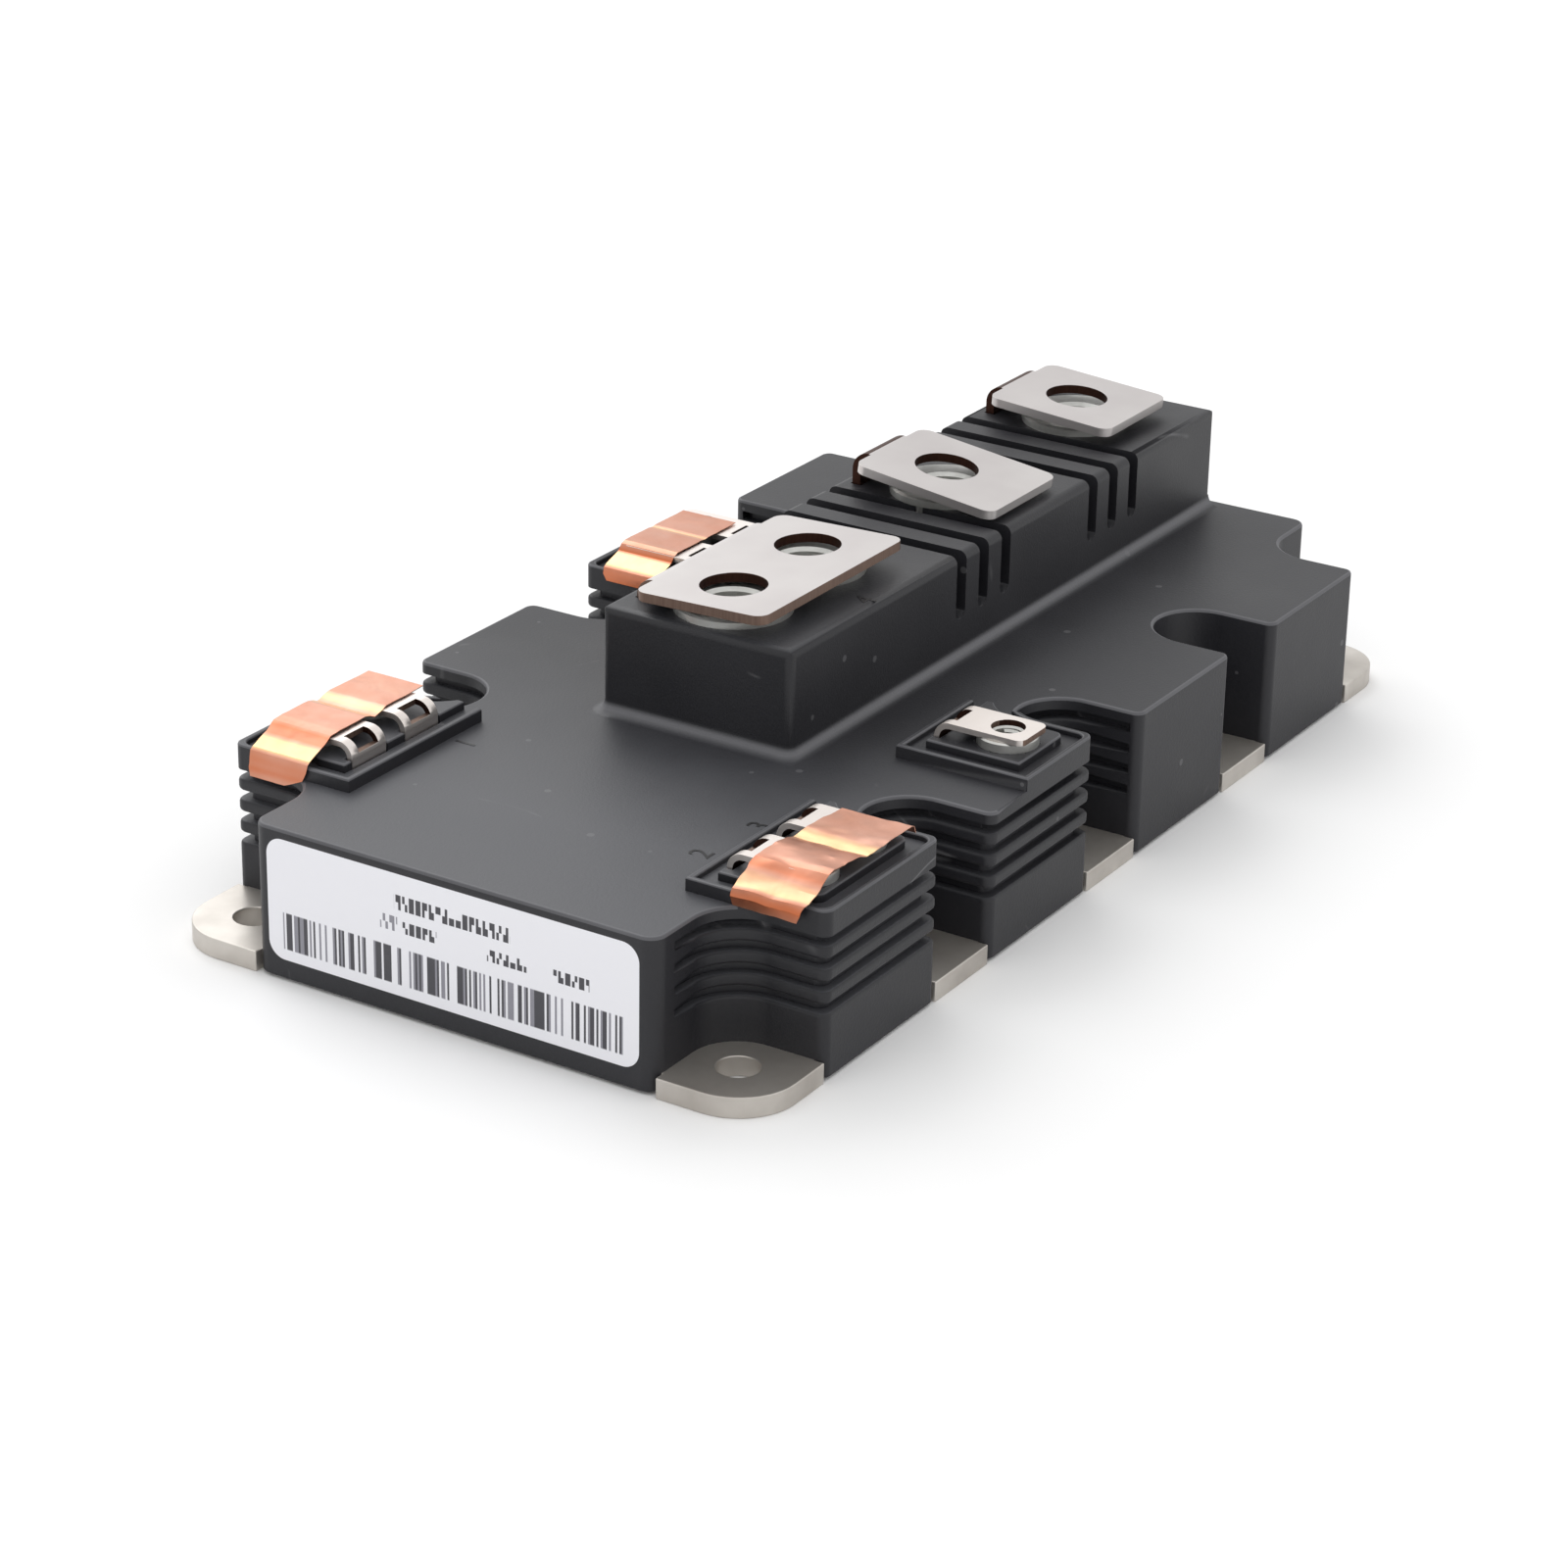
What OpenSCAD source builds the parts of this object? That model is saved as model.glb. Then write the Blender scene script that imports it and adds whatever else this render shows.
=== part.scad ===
// Half-bridge power transistor module with a screwed metal base plate.
// Millimetres. The origin is the centre of the base plate's underside, X runs along
// the length from the labelled end to the far end, and Z is up.

/* [Base plate] */
// Length over the base plate and housing
module_l = 172; // [168:1:180]
// Width over the base plate and housing
module_w = 89; // [87:0.5:96]
// Thickness of the base plate
plate_t = 2.8; // [2.4:0.1:4]
// Distance of the outer mounting holes from the two ends
hole_end = 8; // [7.5:0.1:8.5]
// Distance between the two rows of mounting holes
hole_rows = 73; // [71:0.5:75]
// Radius of a mounting hole
hole_r = 2.75; // [2.2:0.05:3.2]
// Corner radius of the base plate
plate_corner_r = 8; // [5:0.5:9]

/* [Housing] */
// Height of the shoulder, which is the top of the lid plate
shoulder_z = 20.7; // [20:0.1:23]
// Height of the joint between the frame and the lid
joint_z = 19.05; // [19:0.05:19.3]
// Height of the frame's lower edge above the underside of the base plate
skirt_z = 0.5; // [0.2:0.1:1.5]
// Thickness of the skirt that covers the edge of the base plate
skirt_t = 1.5; // [1:0.1:2]
// Thickness of the frame's walls
wall_t = 2.6; // [2.2:0.1:3]
// Radius of the screw recesses in the sides
side_recess_r = 6.5; // [5.5:0.1:7]
// Radius of the screw recesses at the corners
corner_recess_r = 6.5; // [6.4:0.1:7.2]
// Radius of the vertical edges of the side blocks
block_edge_r = 1.4; // [0.5:0.1:2]
// Radius of the vertical edges of the two ends
end_edge_r = 2.2; // [1:0.1:4]

/* [Creepage ribs] */
// Height of the lowest groove's lower edge
groove_z = 8.9; // [6:0.1:9]
// Height of one groove
groove_h = 1.3; // [0.8:0.1:1.4]
// Height from one groove to the next
groove_pitch = 2.95; // [2.6:0.05:3]
// Number of grooves
groove_n = 4; // [2:1:4]
// Depth of the grooves
groove_d = 1.2; // [0.6:0.1:1.4]
// Distance of the first groove's start from the labelled end
groove_start = 4; // [4:0.5:8]
// Plain strip left at the outer edge of the last grooved wall
groove_plain = 1.5; // [1:0.1:3]

/* [Raised terminal block] */
// Height of the top of the raised block
raised_z = 35.5; // [34:0.1:37]
// Width of the raised block
raised_w = 29.2; // [28:0.1:32]
// How far the raised block reaches beyond the output terminal
raised_lead = 0.3; // [0.2:0.1:1.5]
// Distance of the raised block's far face from the far end
raised_end_gap = 1.5; // [0.5:0.1:3]
// Radius of the raised block's upper and vertical edges
raised_edge_r = 1.2; // [0.4:0.1:1.8]
// Radius of the fillet at the raised block's foot
foot_r = 1.8; // [0.8:0.1:2.2]
// Wall of the raised block
raised_wall = 2; // [1.6:0.1:2.2]
// Width of a groove across the raised block
slot_w = 2.5; // [1.6:0.1:3]
// Depth of a groove across the raised block
slot_d = 2; // [1:0.1:2.4]
// Spacing of the grooves across the raised block
slot_pitch = 6; // [5:0.1:6.2]
// Height at which those grooves end on the sides
slot_end_z = 26.2; // [24:0.1:30]

/* [Terminal trays] */
// Height of the tray rims
tray_z = 22.5; // [22:0.1:24]
// Distance of the trays' inner edges from the middle line
tray_inner_y = 25.2; // [24.8:0.1:26]
// Width of the tray rim
rim_w = 0.8; // [0.6:0.1:1.2]
// Width of the groove inside the rim
moat_w = 2; // [1.4:0.1:2.2]
// Height of the groove's floor above the shoulder
moat_floor = 1; // [0.4:0.1:1.2]
// Height of the inner pad above the rim
pad_rise = 0.4; // [0:0.1:0.6]
// How far the near tray starts beyond the first block
tray_lead = 1.1; // [0.6:0.1:2]
// Length of the short tray, which carries a single terminal
short_tray_l = 17.5; // [17.2:0.1:20]
// Distance of the short tray's terminal from the tray's far end
single_at = 9.4; // [9:0.1:9.6]

/* [Main terminals] */
// Thickness of the main terminals
main_t = 1.3; // [1:0.1:1.5]
// Height of the output terminal's top at its screw holes
output_top_z = 38.7; // [38.4:0.1:39.2]
// Height of the supply terminals' tops at their screw holes
supply_top_z = 39.1; // [39:0.1:39.4]
// Width of the main terminals across the block
main_w = 20; // [18:0.5:20.5]
// Length of the output terminal along the block
output_l = 35.2; // [33:0.2:36]
// Length of each supply terminal along the block
supply_l = 18.6; // [17:0.2:19]
// Distance between the output terminal's two screw holes
output_pitch = 18; // [17.2:0.1:19]
// Distance of the output terminal's middle beyond the middle of its substrate
output_shift = 4.9; // [4.5:0.1:5.5]
// Distance of the positive terminal's hole beyond the middle of its substrate
positive_shift = 11.3; // [10.9:0.1:11.5]
// Distance of the negative terminal's hole beyond the middle of its substrate
negative_shift = 9.8; // [9.5:0.1:10]
// Radius of the screw holes in the main terminals
main_hole_r = 4.5; // [4.2:0.1:5]
// Slope of the output terminal across the block, in degrees
output_tilt = -2; // [-2.5:0.5:1]
// Slope of the positive terminal across the block, in degrees
positive_tilt = 7; // [0:0.5:7.5]
// Slope of the negative terminal across the block, in degrees
negative_tilt = 4; // [0:0.5:6]
// How far the positive terminal reaches further across than the others
positive_reach = 2.4; // [0:0.1:2.6]
// Width of the output terminal's leg
output_leg_w = 26; // [20:1:26]
// Width of a supply terminal's leg
supply_leg_w = 9.6; // [6:0.2:9.6]
// Corner radius of the main terminals
main_corner_r = 1.8; // [0.6:0.1:3]

/* [Main nuts] */
// Width across flats of a main nut
main_nut_af = 13; // [12.6:0.1:13]
// Height of the hexagonal part of a main nut
main_nut_h = 5.8; // [5:0.1:6.2]
// Radius of a main nut's collar
main_collar_r = 7.9; // [7.6:0.1:8.2]
// Height of a main nut's collar
main_collar_h = 1.2; // [0.8:0.1:1.2]
// Radius of a main nut's thread at its crests
main_thread_r = 3.4; // [3.3:0.05:3.7]

/* [Control terminals] */
// Thickness of the control terminals
control_t = 0.8; // [0.6:0.1:1]
// Height of the control terminals' tops
control_top_z = 25; // [24.6:0.1:25.6]
// Width of the control terminals
control_w = 7; // [6:0.2:7.4]
// Spacing of the two terminals in a long tray
control_pitch = 11; // [10:0.2:12]
// Distance of the legs' inner faces from the middle line
control_leg_y = 28.1; // [28:0.1:28.6]
// Distance of the terminals' tips from the middle line
control_tip_y = 41; // [40:0.1:41.5]
// Distance of the control screw holes from the middle line
control_hole_y = 37; // [36.5:0.1:37.4]
// Outer radius of the bend
control_bend_r = 2.2; // [1.2:0.1:2.4]
// Radius of the screw holes in the control terminals
control_hole_r = 2.25; // [2.05:0.05:2.5]
// Width of the window in the bend
window_w = 4; // [2:0.1:4.2]

/* [Control nuts] */
// Width across flats of a control nut
control_nut_af = 7; // [6.6:0.1:7]
// Height of the hexagonal part of a control nut
control_nut_h = 2.8; // [2.2:0.1:3]
// Radius of a control nut's collar
control_collar_r = 4; // [3.8:0.05:4.2]
// Radius of a control nut's thread at its crests
control_thread_r = 1.65; // [1.6:0.05:1.8]

/* [Shorting foils and label] */
// Thickness of the shorting foils
foil_t = 0.3; // [0.2:0.05:0.5]
// Width of the shorting foils
foil_w = 9; // [6:0.5:10]
// Distance of the foils' middle lines from the module's middle line
foil_y = 36.5; // [35:0.5:37]
// Thickness of the label
label_t = 0.15; // [0.1:0.05:0.3]
// Length of the label
label_l = 55.4; // [40:0.2:56]
// Height of the label
label_h = 16.4; // [10:0.2:16.8]
// Height of the label's middle
label_z = 11.2; // [11:0.1:11.6]
// Corner radius of the label
label_corner_r = 2.4; // [0.5:0.1:4]

/* [Substrates and chips] */
// Gap between neighbouring ceramic substrates
ceramic_gap = 4; // [3:0.5:6]
// Width of a ceramic substrate
ceramic_w = 52; // [50:0.5:53]
// Thickness of a ceramic substrate
ceramic_t = 0.6; // [0.4:0.1:1]
// Thickness of each copper layer on a substrate
copper_t = 0.4; // [0.3:0.1:0.5]
// Border of bare ceramic round the copper
copper_border = 1; // [0.6:0.1:1.5]
// Width of the gap between copper tracks
track_gap = 1; // [0.6:0.1:1.4]
// Side of a transistor chip
transistor_side = 10.5; // [8:0.5:10.5]
// Side of a diode chip
diode_side = 7.5; // [5:0.5:7.5]
// Thickness of the chips
chip_t = 0.3; // [0.2:0.05:0.4]
// Radius of a bond wire
wire_r = 0.2; // [0.15:0.05:0.3]
// Bare track left on both sides of a main terminal's foot
foot_margin = 1.5; // [1.2:0.1:3]
// How far a bond wire reaches onto its chip
wire_reach = 1.6; // [1:0.1:2.4]
// Height of the gel's surface
gel_z = 13; // [11:0.5:15]

/* [Clearances] */
// Clearance of a nut in its pocket
nut_gap = 0.1; // [0.05:0.05:0.2]
// Clearance round the screws' ends below the nuts
screw_gap = 0.8; // [0.4:0.1:1.2]
// Clearance of a leg in its slot
leg_gap = 0.2; // [0.1:0.05:0.3]
// Clearance between the lid's lip and the frame's walls
lip_gap = 0.1; // [0.05:0.05:0.2]

/* [Hidden] */
$fn = 64;

far = 2 * module_l;                 // longer than anything that is cut
end_x = module_l / 2;
side_y = module_w / 2;
hole_y = hole_rows / 2;
last = 4;                           // number of the last mounting hole in a row
hole_pitch = (module_l - 2 * hole_end) / last;
hole_x = [for (i = [0 : last]) (i - last / 2) * hole_pitch];
// The substrates lie midway between the mounting holes.
stack_x = [for (i = [0 : last - 1]) (hole_x[i] + hole_x[i + 1]) / 2];

function recess_r(i) = i == 0 || i == last ? corner_recess_r : side_recess_r;
// Where side block k, between mounting holes k and k + 1, starts and ends.
function block_start(k) = hole_x[k] + recess_r(k);
function block_end(k) = hole_x[k + 1] - recess_r(k + 1);

end_half_w = hole_y - corner_recess_r;   // half width of the two ends
cavity_z = plate_t;
lip_w = 1.2;                        // width of the lid's locating lip
lip_h = 1.5;                        // and its height

// Raised block
output_x = stack_x[1] + output_shift;
positive_x = stack_x[2] + positive_shift;
negative_x = stack_x[3] + negative_shift;
raised_x0 = output_x - output_l / 2 - raised_lead;
raised_x1 = end_x - raised_end_gap;
// Two groups of three grooves, each a little beyond the middle of the stretch between
// two terminals, as the terminals' plates overhang the near groove.
slot_shift = [4, 3.5];
slot_groups = [
    (output_x + output_l / 2 + positive_x - supply_l / 2) / 2 + slot_shift[0],
    (positive_x + negative_x) / 2 + slot_shift[1]];
slots = [for (g = slot_groups, i = [-1 : 1]) g + i * slot_pitch];
main_holes = [output_x - output_pitch / 2, output_x + output_pitch / 2, positive_x,
    negative_x];
leg_y = raised_w / 2 - raised_wall - leg_gap - main_t;   // inner face of the legs
narrow_z = gel_z + 1;               // height at which the output leg narrows
boss_wall = 2;                      // wall and floor of the main nuts' bosses
boss_floor = 1.5;
boss_r = main_nut_af / sqrt(3) + boss_wall;
boss_h = main_nut_h + boss_floor;
control_boss_wall = 1.2;            // wall and floor of the control nuts' bosses
tip_r = 1.2;                        // corner radius of the control terminals' tips
window_drop = 1.6;                  // the windows' reach down a control terminal's bend
window_reach = 0.3;                 // and beyond it on the flat
foil_rim_gap = 0.1;                 // gap between a foil's drape and the rim
foil_rim_lift = 0.3;                // height of a foil over the rim's edge
foil_end_gap = 2.2;                 // gap between a foil's flat end and its tray's end

// Trays: side, start, end, number of terminals and how far their middle lies beyond the
// tray's middle
trays = [
    [1, block_start(0) - tray_lead, block_end(0), 2, 0],
    [1, block_start(2), block_end(2), 2, 0],
    [-1, block_start(0) - tray_lead, block_end(0), 2, 0],
    [-1, block_end(1) - short_tray_l, block_end(1), 1, short_tray_l / 2 - single_at]];
// Control terminals: side and place along the length
controls = [for (t = trays, i = [0 : t[3] - 1])
    [t[0], (t[1] + t[2]) / 2 + t[4] + (i - (t[3] - 1) / 2) * control_pitch]];
foil_trays = [trays[0], trays[1], trays[2]];
pad_inset = rim_w + moat_w;
pad_z = tray_z + pad_rise;
control_collar_z = control_top_z - control_t;

// Substrate stack
ceramic_l = hole_pitch - ceramic_gap;
backing_z = plate_t;
ceramic_z = backing_z + copper_t;
track_z = ceramic_z + ceramic_t;
chip_z = track_z + copper_t;
track_w = ceramic_w - 2 * copper_border;
track_l = ceramic_l - 2 * copper_border;
emitter_w = 6;                      // width of the middle track, which the wires reach
collector_w = (track_w - emitter_w) / 2 - track_gap;
chip_y = emitter_w / 2 + track_gap + collector_w / 2;
wires_per_chip = 3;
foot_l = 5;                         // length of the terminals' feet on the tracks
chip_gap = 1;                       // gap between neighbouring chips
chip_margin = 2;                    // bare track beside the transistors
chip_edge = 0.6;                    // bare track between a chip and the track's edge
inner_y = emitter_w / 2 + track_gap + chip_edge;
wire_span = inner_y + wire_reach;   // from the middle track's middle to the chip
wire_top = chip_z + chip_t + 2 * wire_r + wire_span / 2;
link_land = 1.5;                    // how far a link between tracks reaches onto them
link_l = hole_pitch - track_l + 2 * link_land;
link_w = 4;
thermistor_l = 2.4;
thermistor_h = 1.6;
thermistor_margin = 0.6;            // bare track beside the thermistor

function transistor_x(i) =
    stack_x[i - 1] - track_l / 2 + chip_margin + transistor_side / 2;
function diode_x(i) = transistor_x(i) + (transistor_side + diode_side) / 2 + chip_gap;
// The bare stretch of track beside the diodes, where the terminals' feet stand.
function free_x(i) = (diode_x(i) + diode_side / 2 + stack_x[i - 1] + track_l / 2) / 2;
free_l = track_l - chip_margin - transistor_side - chip_gap - diode_side;
// Place and width of the output, positive and negative terminals' feet.
main_feet = [for (i = [2 : last]) [free_x(i), free_l - 2 * foot_margin]];

module rounded(size, r) {
    union() {
        square([size[0] - 2 * r, size[1]], center = true);
        square([size[0], size[1] - 2 * r], center = true);
        for (x = [-1, 1], y = [-1, 1])
            translate([x * (size[0] / 2 - r), y * (size[1] / 2 - r)]) circle(r);
    }
}

// One side block in plan, drawn from the middle line out and set in by inset.
module block_plan(x0, x1, inset) {
    r = block_edge_r;
    top = side_y - inset;
    union() {
        translate([x0 + inset, 0]) square([x1 - x0 - 2 * inset, top - r]);
        translate([x0 + inset + r, 0]) square([x1 - x0 - 2 * inset - 2 * r, top]);
        for (x = [x0 + inset + r, x1 - inset - r]) translate([x, top - r]) circle(r);
    }
}

// The housing in plan: a long body whose sides are cut by the screw recesses.
module housing_plan(inset = 0) {
    difference() {
        union() {
            rounded([module_l - 2 * inset, 2 * (end_half_w - inset)], end_edge_r);
            square([2 * hole_x[last], 2 * hole_y], center = true);
            for (k = [0 : last - 1]) {
                block_plan(block_start(k), block_end(k), inset);
                mirror([0, 1, 0]) block_plan(block_start(k), block_end(k), inset);
            }
        }
        for (i = [0 : last], y = [-hole_y, hole_y])
            translate([hole_x[i], y]) circle(recess_r(i) + inset);
    }
}

// The base plate in plan: an inner field with an ear at every mounting hole.
module plate_plan() {
    ear_y = end_half_w;
    union() {
        square([module_l - 2 * skirt_t, module_w - 2 * skirt_t - 2 * plate_corner_r],
            center = true);
        square([2 * hole_x[last], module_w - 2 * skirt_t], center = true);
        intersection() {
            rounded([module_l, module_w], plate_corner_r);
            for (y = [-1, 1]) {
                for (i = [1 : last - 1])
                    translate([hole_x[i] - side_recess_r, y > 0 ? ear_y : -far - ear_y])
                        square([2 * side_recess_r, far]);
                for (x = [-1, 1])
                    translate([x > 0 ? block_end(last - 1) : -far + block_start(0),
                        y > 0 ? ear_y : -far - ear_y]) square([far, far]);
            }
        }
    }
}

module base_plate() {
    color("silver") difference() {
        linear_extrude(plate_t) plate_plan();
        for (x = hole_x, y = [-hole_y, hole_y])
            translate([x, y, -1]) cylinder(h = plate_t + 2, r = hole_r);
    }
}

// The stretch of wall that carries ribs on one side, up to the last grooved recess.
module rib_zone(side, recess) {
    inner = end_half_w - 2 * groove_d;
    x0 = -end_x + groove_start;
    x1 = hole_x[recess] + side_recess_r;
    union() {
        translate([x0, side > 0 ? inner : -far - inner]) square([x1 - x0, far]);
        translate([x0, side > 0 ? inner : -side_y + groove_plain])
            square([x1 - x0 + 2 * groove_d, side_y - groove_plain - inner]);
    }
}

// What the ribs' grooves take away at one level.
module groove_plan() {
    difference() {
        union() {
            rib_zone(1, 3);
            rib_zone(-1, 2);
        }
        housing_plan(groove_d);
    }
}

module housing_frame() {
    color("#26272a") difference() {
        union() {
            translate([0, 0, plate_t]) linear_extrude(joint_z - plate_t) housing_plan();
            translate([0, 0, skirt_z]) linear_extrude(plate_t - skirt_z) difference() {
                housing_plan();
                plate_plan();
            }
        }
        translate([0, 0, plate_t - 1]) linear_extrude(joint_z)
            intersection() {
                housing_plan(wall_t);
                square([module_l - 2 * wall_t, module_w], center = true);
            }
        for (i = [0 : groove_n - 1])
            translate([0, 0, groove_z + i * groove_pitch]) linear_extrude(groove_h)
                groove_plan();
        label_recess();
    }
}

module label_recess() {
    translate([-end_x - 1, 0, label_z]) rotate([90, 0, 90])
        linear_extrude(1 + label_t) rounded([label_l, label_h], label_corner_r);
}

// Section of the raised block across its width, set in by inset.
module raised_section(inset) {
    r = max(raised_edge_r - inset, 0.2);
    w = raised_w - 2 * inset;
    top = raised_z - inset;
    union() {
        translate([-w / 2, joint_z]) square([w, top - r - joint_z]);
        translate([-w / 2 + r, joint_z]) square([w - 2 * r, top - joint_z]);
        for (x = [-1, 1]) translate([x * (w / 2 - r), top - r]) circle(r);
    }
}

// Section of the raised block along its length.
module raised_profile() {
    r = raised_edge_r;
    l = raised_x1 - raised_x0;
    union() {
        translate([raised_x0, joint_z]) square([l, raised_z - r - joint_z]);
        translate([raised_x0 + r, joint_z]) square([l - 2 * r, raised_z - joint_z]);
        for (x = [raised_x0 + r, raised_x1 - r]) translate([x, raised_z - r]) circle(r);
    }
}

// The solid raised block, rounded along every upper and vertical edge.
module raised_body() {
    l = raised_x1 - raised_x0;
    intersection() {
        translate([raised_x0, 0, 0]) rotate([90, 0, 90]) linear_extrude(l)
            raised_section(0);
        translate([0, raised_w / 2, 0]) rotate([90, 0, 0]) linear_extrude(raised_w)
            raised_profile();
        translate([(raised_x0 + raised_x1) / 2, 0, 0]) linear_extrude(raised_z)
            rounded([l, raised_w], raised_edge_r);
    }
}

// Section of the foot fillet: a square corner less a quarter circle.
module fillet_section() {
    difference() {
        square([foot_r, foot_r]);
        translate([foot_r, foot_r]) circle(foot_r);
    }
}

// The fillet round the raised block's foot, open at the far end.
module foot_fillet() {
    r = raised_edge_r;
    x0 = raised_x0 + r;
    y0 = raised_w / 2;
    l = min(raised_x1, end_x - end_edge_r) - x0;
    translate([0, 0, shoulder_z]) {
        translate([x0, y0, 0]) rotate([90, 0, 90]) linear_extrude(l) fillet_section();
        translate([x0, -y0, 0]) rotate([90, 0, 90]) linear_extrude(l)
            mirror([1, 0]) fillet_section();
        translate([raised_x0, y0 - r, 0]) rotate([90, 0, 0])
            linear_extrude(raised_w - 2 * r) mirror([1, 0]) fillet_section();
        for (y = [-1, 1])
            translate([x0, y * (y0 - r), 0]) rotate([0, 0, y > 0 ? 90 : 180])
                rotate_extrude(angle = 90) translate([r, 0]) fillet_section();
    }
}

// A groove that runs over the raised block and down its sides, where its floor curves
// out to the wall and its end is round.
module slot_cut(x) {
    end_z = slot_end_z + slot_d;
    translate([x - slot_w / 2, 0, 0]) rotate([90, 0, 90]) linear_extrude(slot_w)
        difference() {
            translate([-raised_w, end_z]) square([2 * raised_w, raised_z]);
            raised_section(slot_d);
        }
    for (y = [-raised_w / 2, raised_w / 2]) intersection() {
        translate([x, y - raised_w / 4, end_z]) rotate([-90, 0, 0])
            linear_extrude(raised_w / 2) union() {
                translate([0, slot_d - slot_w / 2]) circle(slot_w / 2);
                translate([-slot_w / 2, -1]) square([slot_w, slot_d - slot_w / 2 + 1]);
            }
        translate([x - slot_w, y, end_z]) rotate([0, 90, 0])
            cylinder(h = 2 * slot_w, r = slot_d);
    }
}

// Hollow under the raised block, narrower where grooves cross it.
module raised_hollow() {
    x0 = raised_x0 + raised_wall;
    x1 = raised_x1 - raised_wall;
    narrow = raised_wall + slot_d;
    z0 = joint_z - 1;
    ends = [
        [x0, slots[0] - slot_w / 2 - raised_wall],
        [slots[2] + slot_w / 2 + raised_wall, slots[3] - slot_w / 2 - raised_wall],
        [slots[5] + slot_w / 2 + raised_wall, x1]];
    translate([x0, -raised_w / 2 + narrow, z0])
        cube([x1 - x0, raised_w - 2 * narrow, raised_z - narrow - z0]);
    for (e = ends)
        translate([e[0], -raised_w / 2 + raised_wall, z0])
            cube([e[1] - e[0], raised_w - 2 * raised_wall, raised_z - raised_wall - z0]);
}

module tray_plan(t, inset) {
    lead = t[1] == block_start(2) ? 0 : 1;
    y0 = tray_inner_y + inset;
    intersection() {
        housing_plan(inset);
        translate([t[1] + lead * inset, t[0] > 0 ? y0 : -far - y0])
            square([t[2] + 1 - t[1] - lead * inset, far]);
    }
}

// A tray: a low rim, a groove inside it and a pad that stands a little above the rim.
module tray(t) {
    floor_z = shoulder_z + moat_floor;
    union() {
        difference() {
            translate([0, 0, joint_z]) linear_extrude(tray_z - joint_z) tray_plan(t, 0);
            translate([0, 0, floor_z]) linear_extrude(tray_z) tray_plan(t, rim_w);
        }
        translate([0, 0, joint_z]) linear_extrude(pad_z - joint_z) tray_plan(t, pad_inset);
    }
}

module hexagon(af, h) {
    cylinder(h = h, r = af / sqrt(3), $fn = 6);
}

module housing_lid() {
    color("#26272a") difference() {
        union() {
            translate([0, 0, joint_z]) linear_extrude(shoulder_z - joint_z)
                housing_plan();
            raised_body();
            foot_fillet();
            for (t = trays) tray(t);
            translate([0, 0, joint_z - lip_h]) linear_extrude(lip_h) difference() {
                housing_plan(wall_t + lip_gap);
                housing_plan(wall_t + lip_gap + lip_w);
            }
            intersection() {
                for (c = controls)
                    translate([c[1], c[0] * control_hole_y,
                        pad_z - control_nut_h - control_boss_wall])
                        cylinder(h = control_nut_h,
                            r = control_nut_af / sqrt(3) + control_boss_wall);
                linear_extrude(tray_z) housing_plan(wall_t + lip_gap);
            }
        }
        difference() {
            raised_hollow();
            for (x = main_holes)
                translate([x, 0, raised_z - boss_h]) cylinder(h = boss_h, r = boss_r);
        }
        for (x = slots) slot_cut(x);
        label_recess();
        for (x = main_holes) {
            translate([x, 0, raised_z - main_nut_h])
                hexagon(main_nut_af + 2 * nut_gap, main_nut_h + 1);
            translate([x, 0, raised_z - boss_h - 1])
                cylinder(h = boss_h, r = main_thread_r + screw_gap);
        }
        leg_slot(output_x, output_leg_w);
        leg_slot(positive_x, supply_leg_w);
        leg_slot(negative_x, supply_leg_w);
        for (c = controls) {
            translate([c[1], c[0] * control_hole_y, pad_z - control_nut_h])
                hexagon(control_nut_af + 2 * nut_gap, control_nut_h + 1);
            translate([c[1], c[0] * control_hole_y, 0])
                cylinder(h = pad_z - 1, r = control_thread_r + screw_gap);
            translate([c[1] - control_w / 2 - leg_gap,
                c[0] * (control_leg_y + control_t / 2) - control_t / 2 - leg_gap,
                joint_z - lip_h - 1])
                cube([control_w + 2 * leg_gap, control_t + 2 * leg_gap, tray_z]);
        }
    }
}

// Slot through the raised block for a main terminal's leg.
module leg_slot(x, w) {
    translate([x - w / 2 - leg_gap, leg_y - leg_gap, joint_z - 1])
        cube([w + 2 * leg_gap, main_t + 2 * leg_gap, raised_z - joint_z + 2]);
}

// A main terminal: a sloping plate over the nuts, folded down into a leg with a foot.
module main_terminal(x, l, leg_w, foot, holes, top_z, tilt, reach) {
    bend = 2 * main_t;              // outer radius of the fold
    y1 = leg_y + main_t - bend;     // axis of the fold
    w = y1 + main_w / 2 + reach;
    mid = (bend * sin(tilt) - y1) / cos(tilt);   // the screw holes' place on the slope
    z1 = top_z - mid * sin(tilt) - bend * cos(tilt);
    color("lightgray") union() {
        translate([x, y1, z1]) rotate([tilt, 0, 0]) translate([0, 0, bend - main_t])
            linear_extrude(main_t) difference() {
                translate([0, -w / 2]) rounded([l, w], main_corner_r);
                for (h = holes) translate([h - x, mid]) circle(main_hole_r);
            }
        translate([x - leg_w / 2, y1, z1]) rotate([90, 0, 90])
            rotate_extrude(angle = 90 + tilt) translate([bend - main_t, 0])
            square([main_t, leg_w]);
        // leg, which narrows above the gel, and foot
        translate([x - leg_w / 2, leg_y, narrow_z]) cube([leg_w, main_t, z1 - narrow_z]);
        translate([foot[0] - foot[1] / 2, leg_y, chip_z])
            cube([foot[1], main_t, narrow_z - chip_z]);
        translate([foot[0] - foot[1] / 2, leg_y - foot_l, chip_z])
            cube([foot[1], foot_l + main_t / 2, main_t]);
    }
}

module output_terminal() {
    main_terminal(output_x, output_l, output_leg_w, main_feet[0],
        [main_holes[0], main_holes[1]], output_top_z, output_tilt, 0);
}

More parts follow.
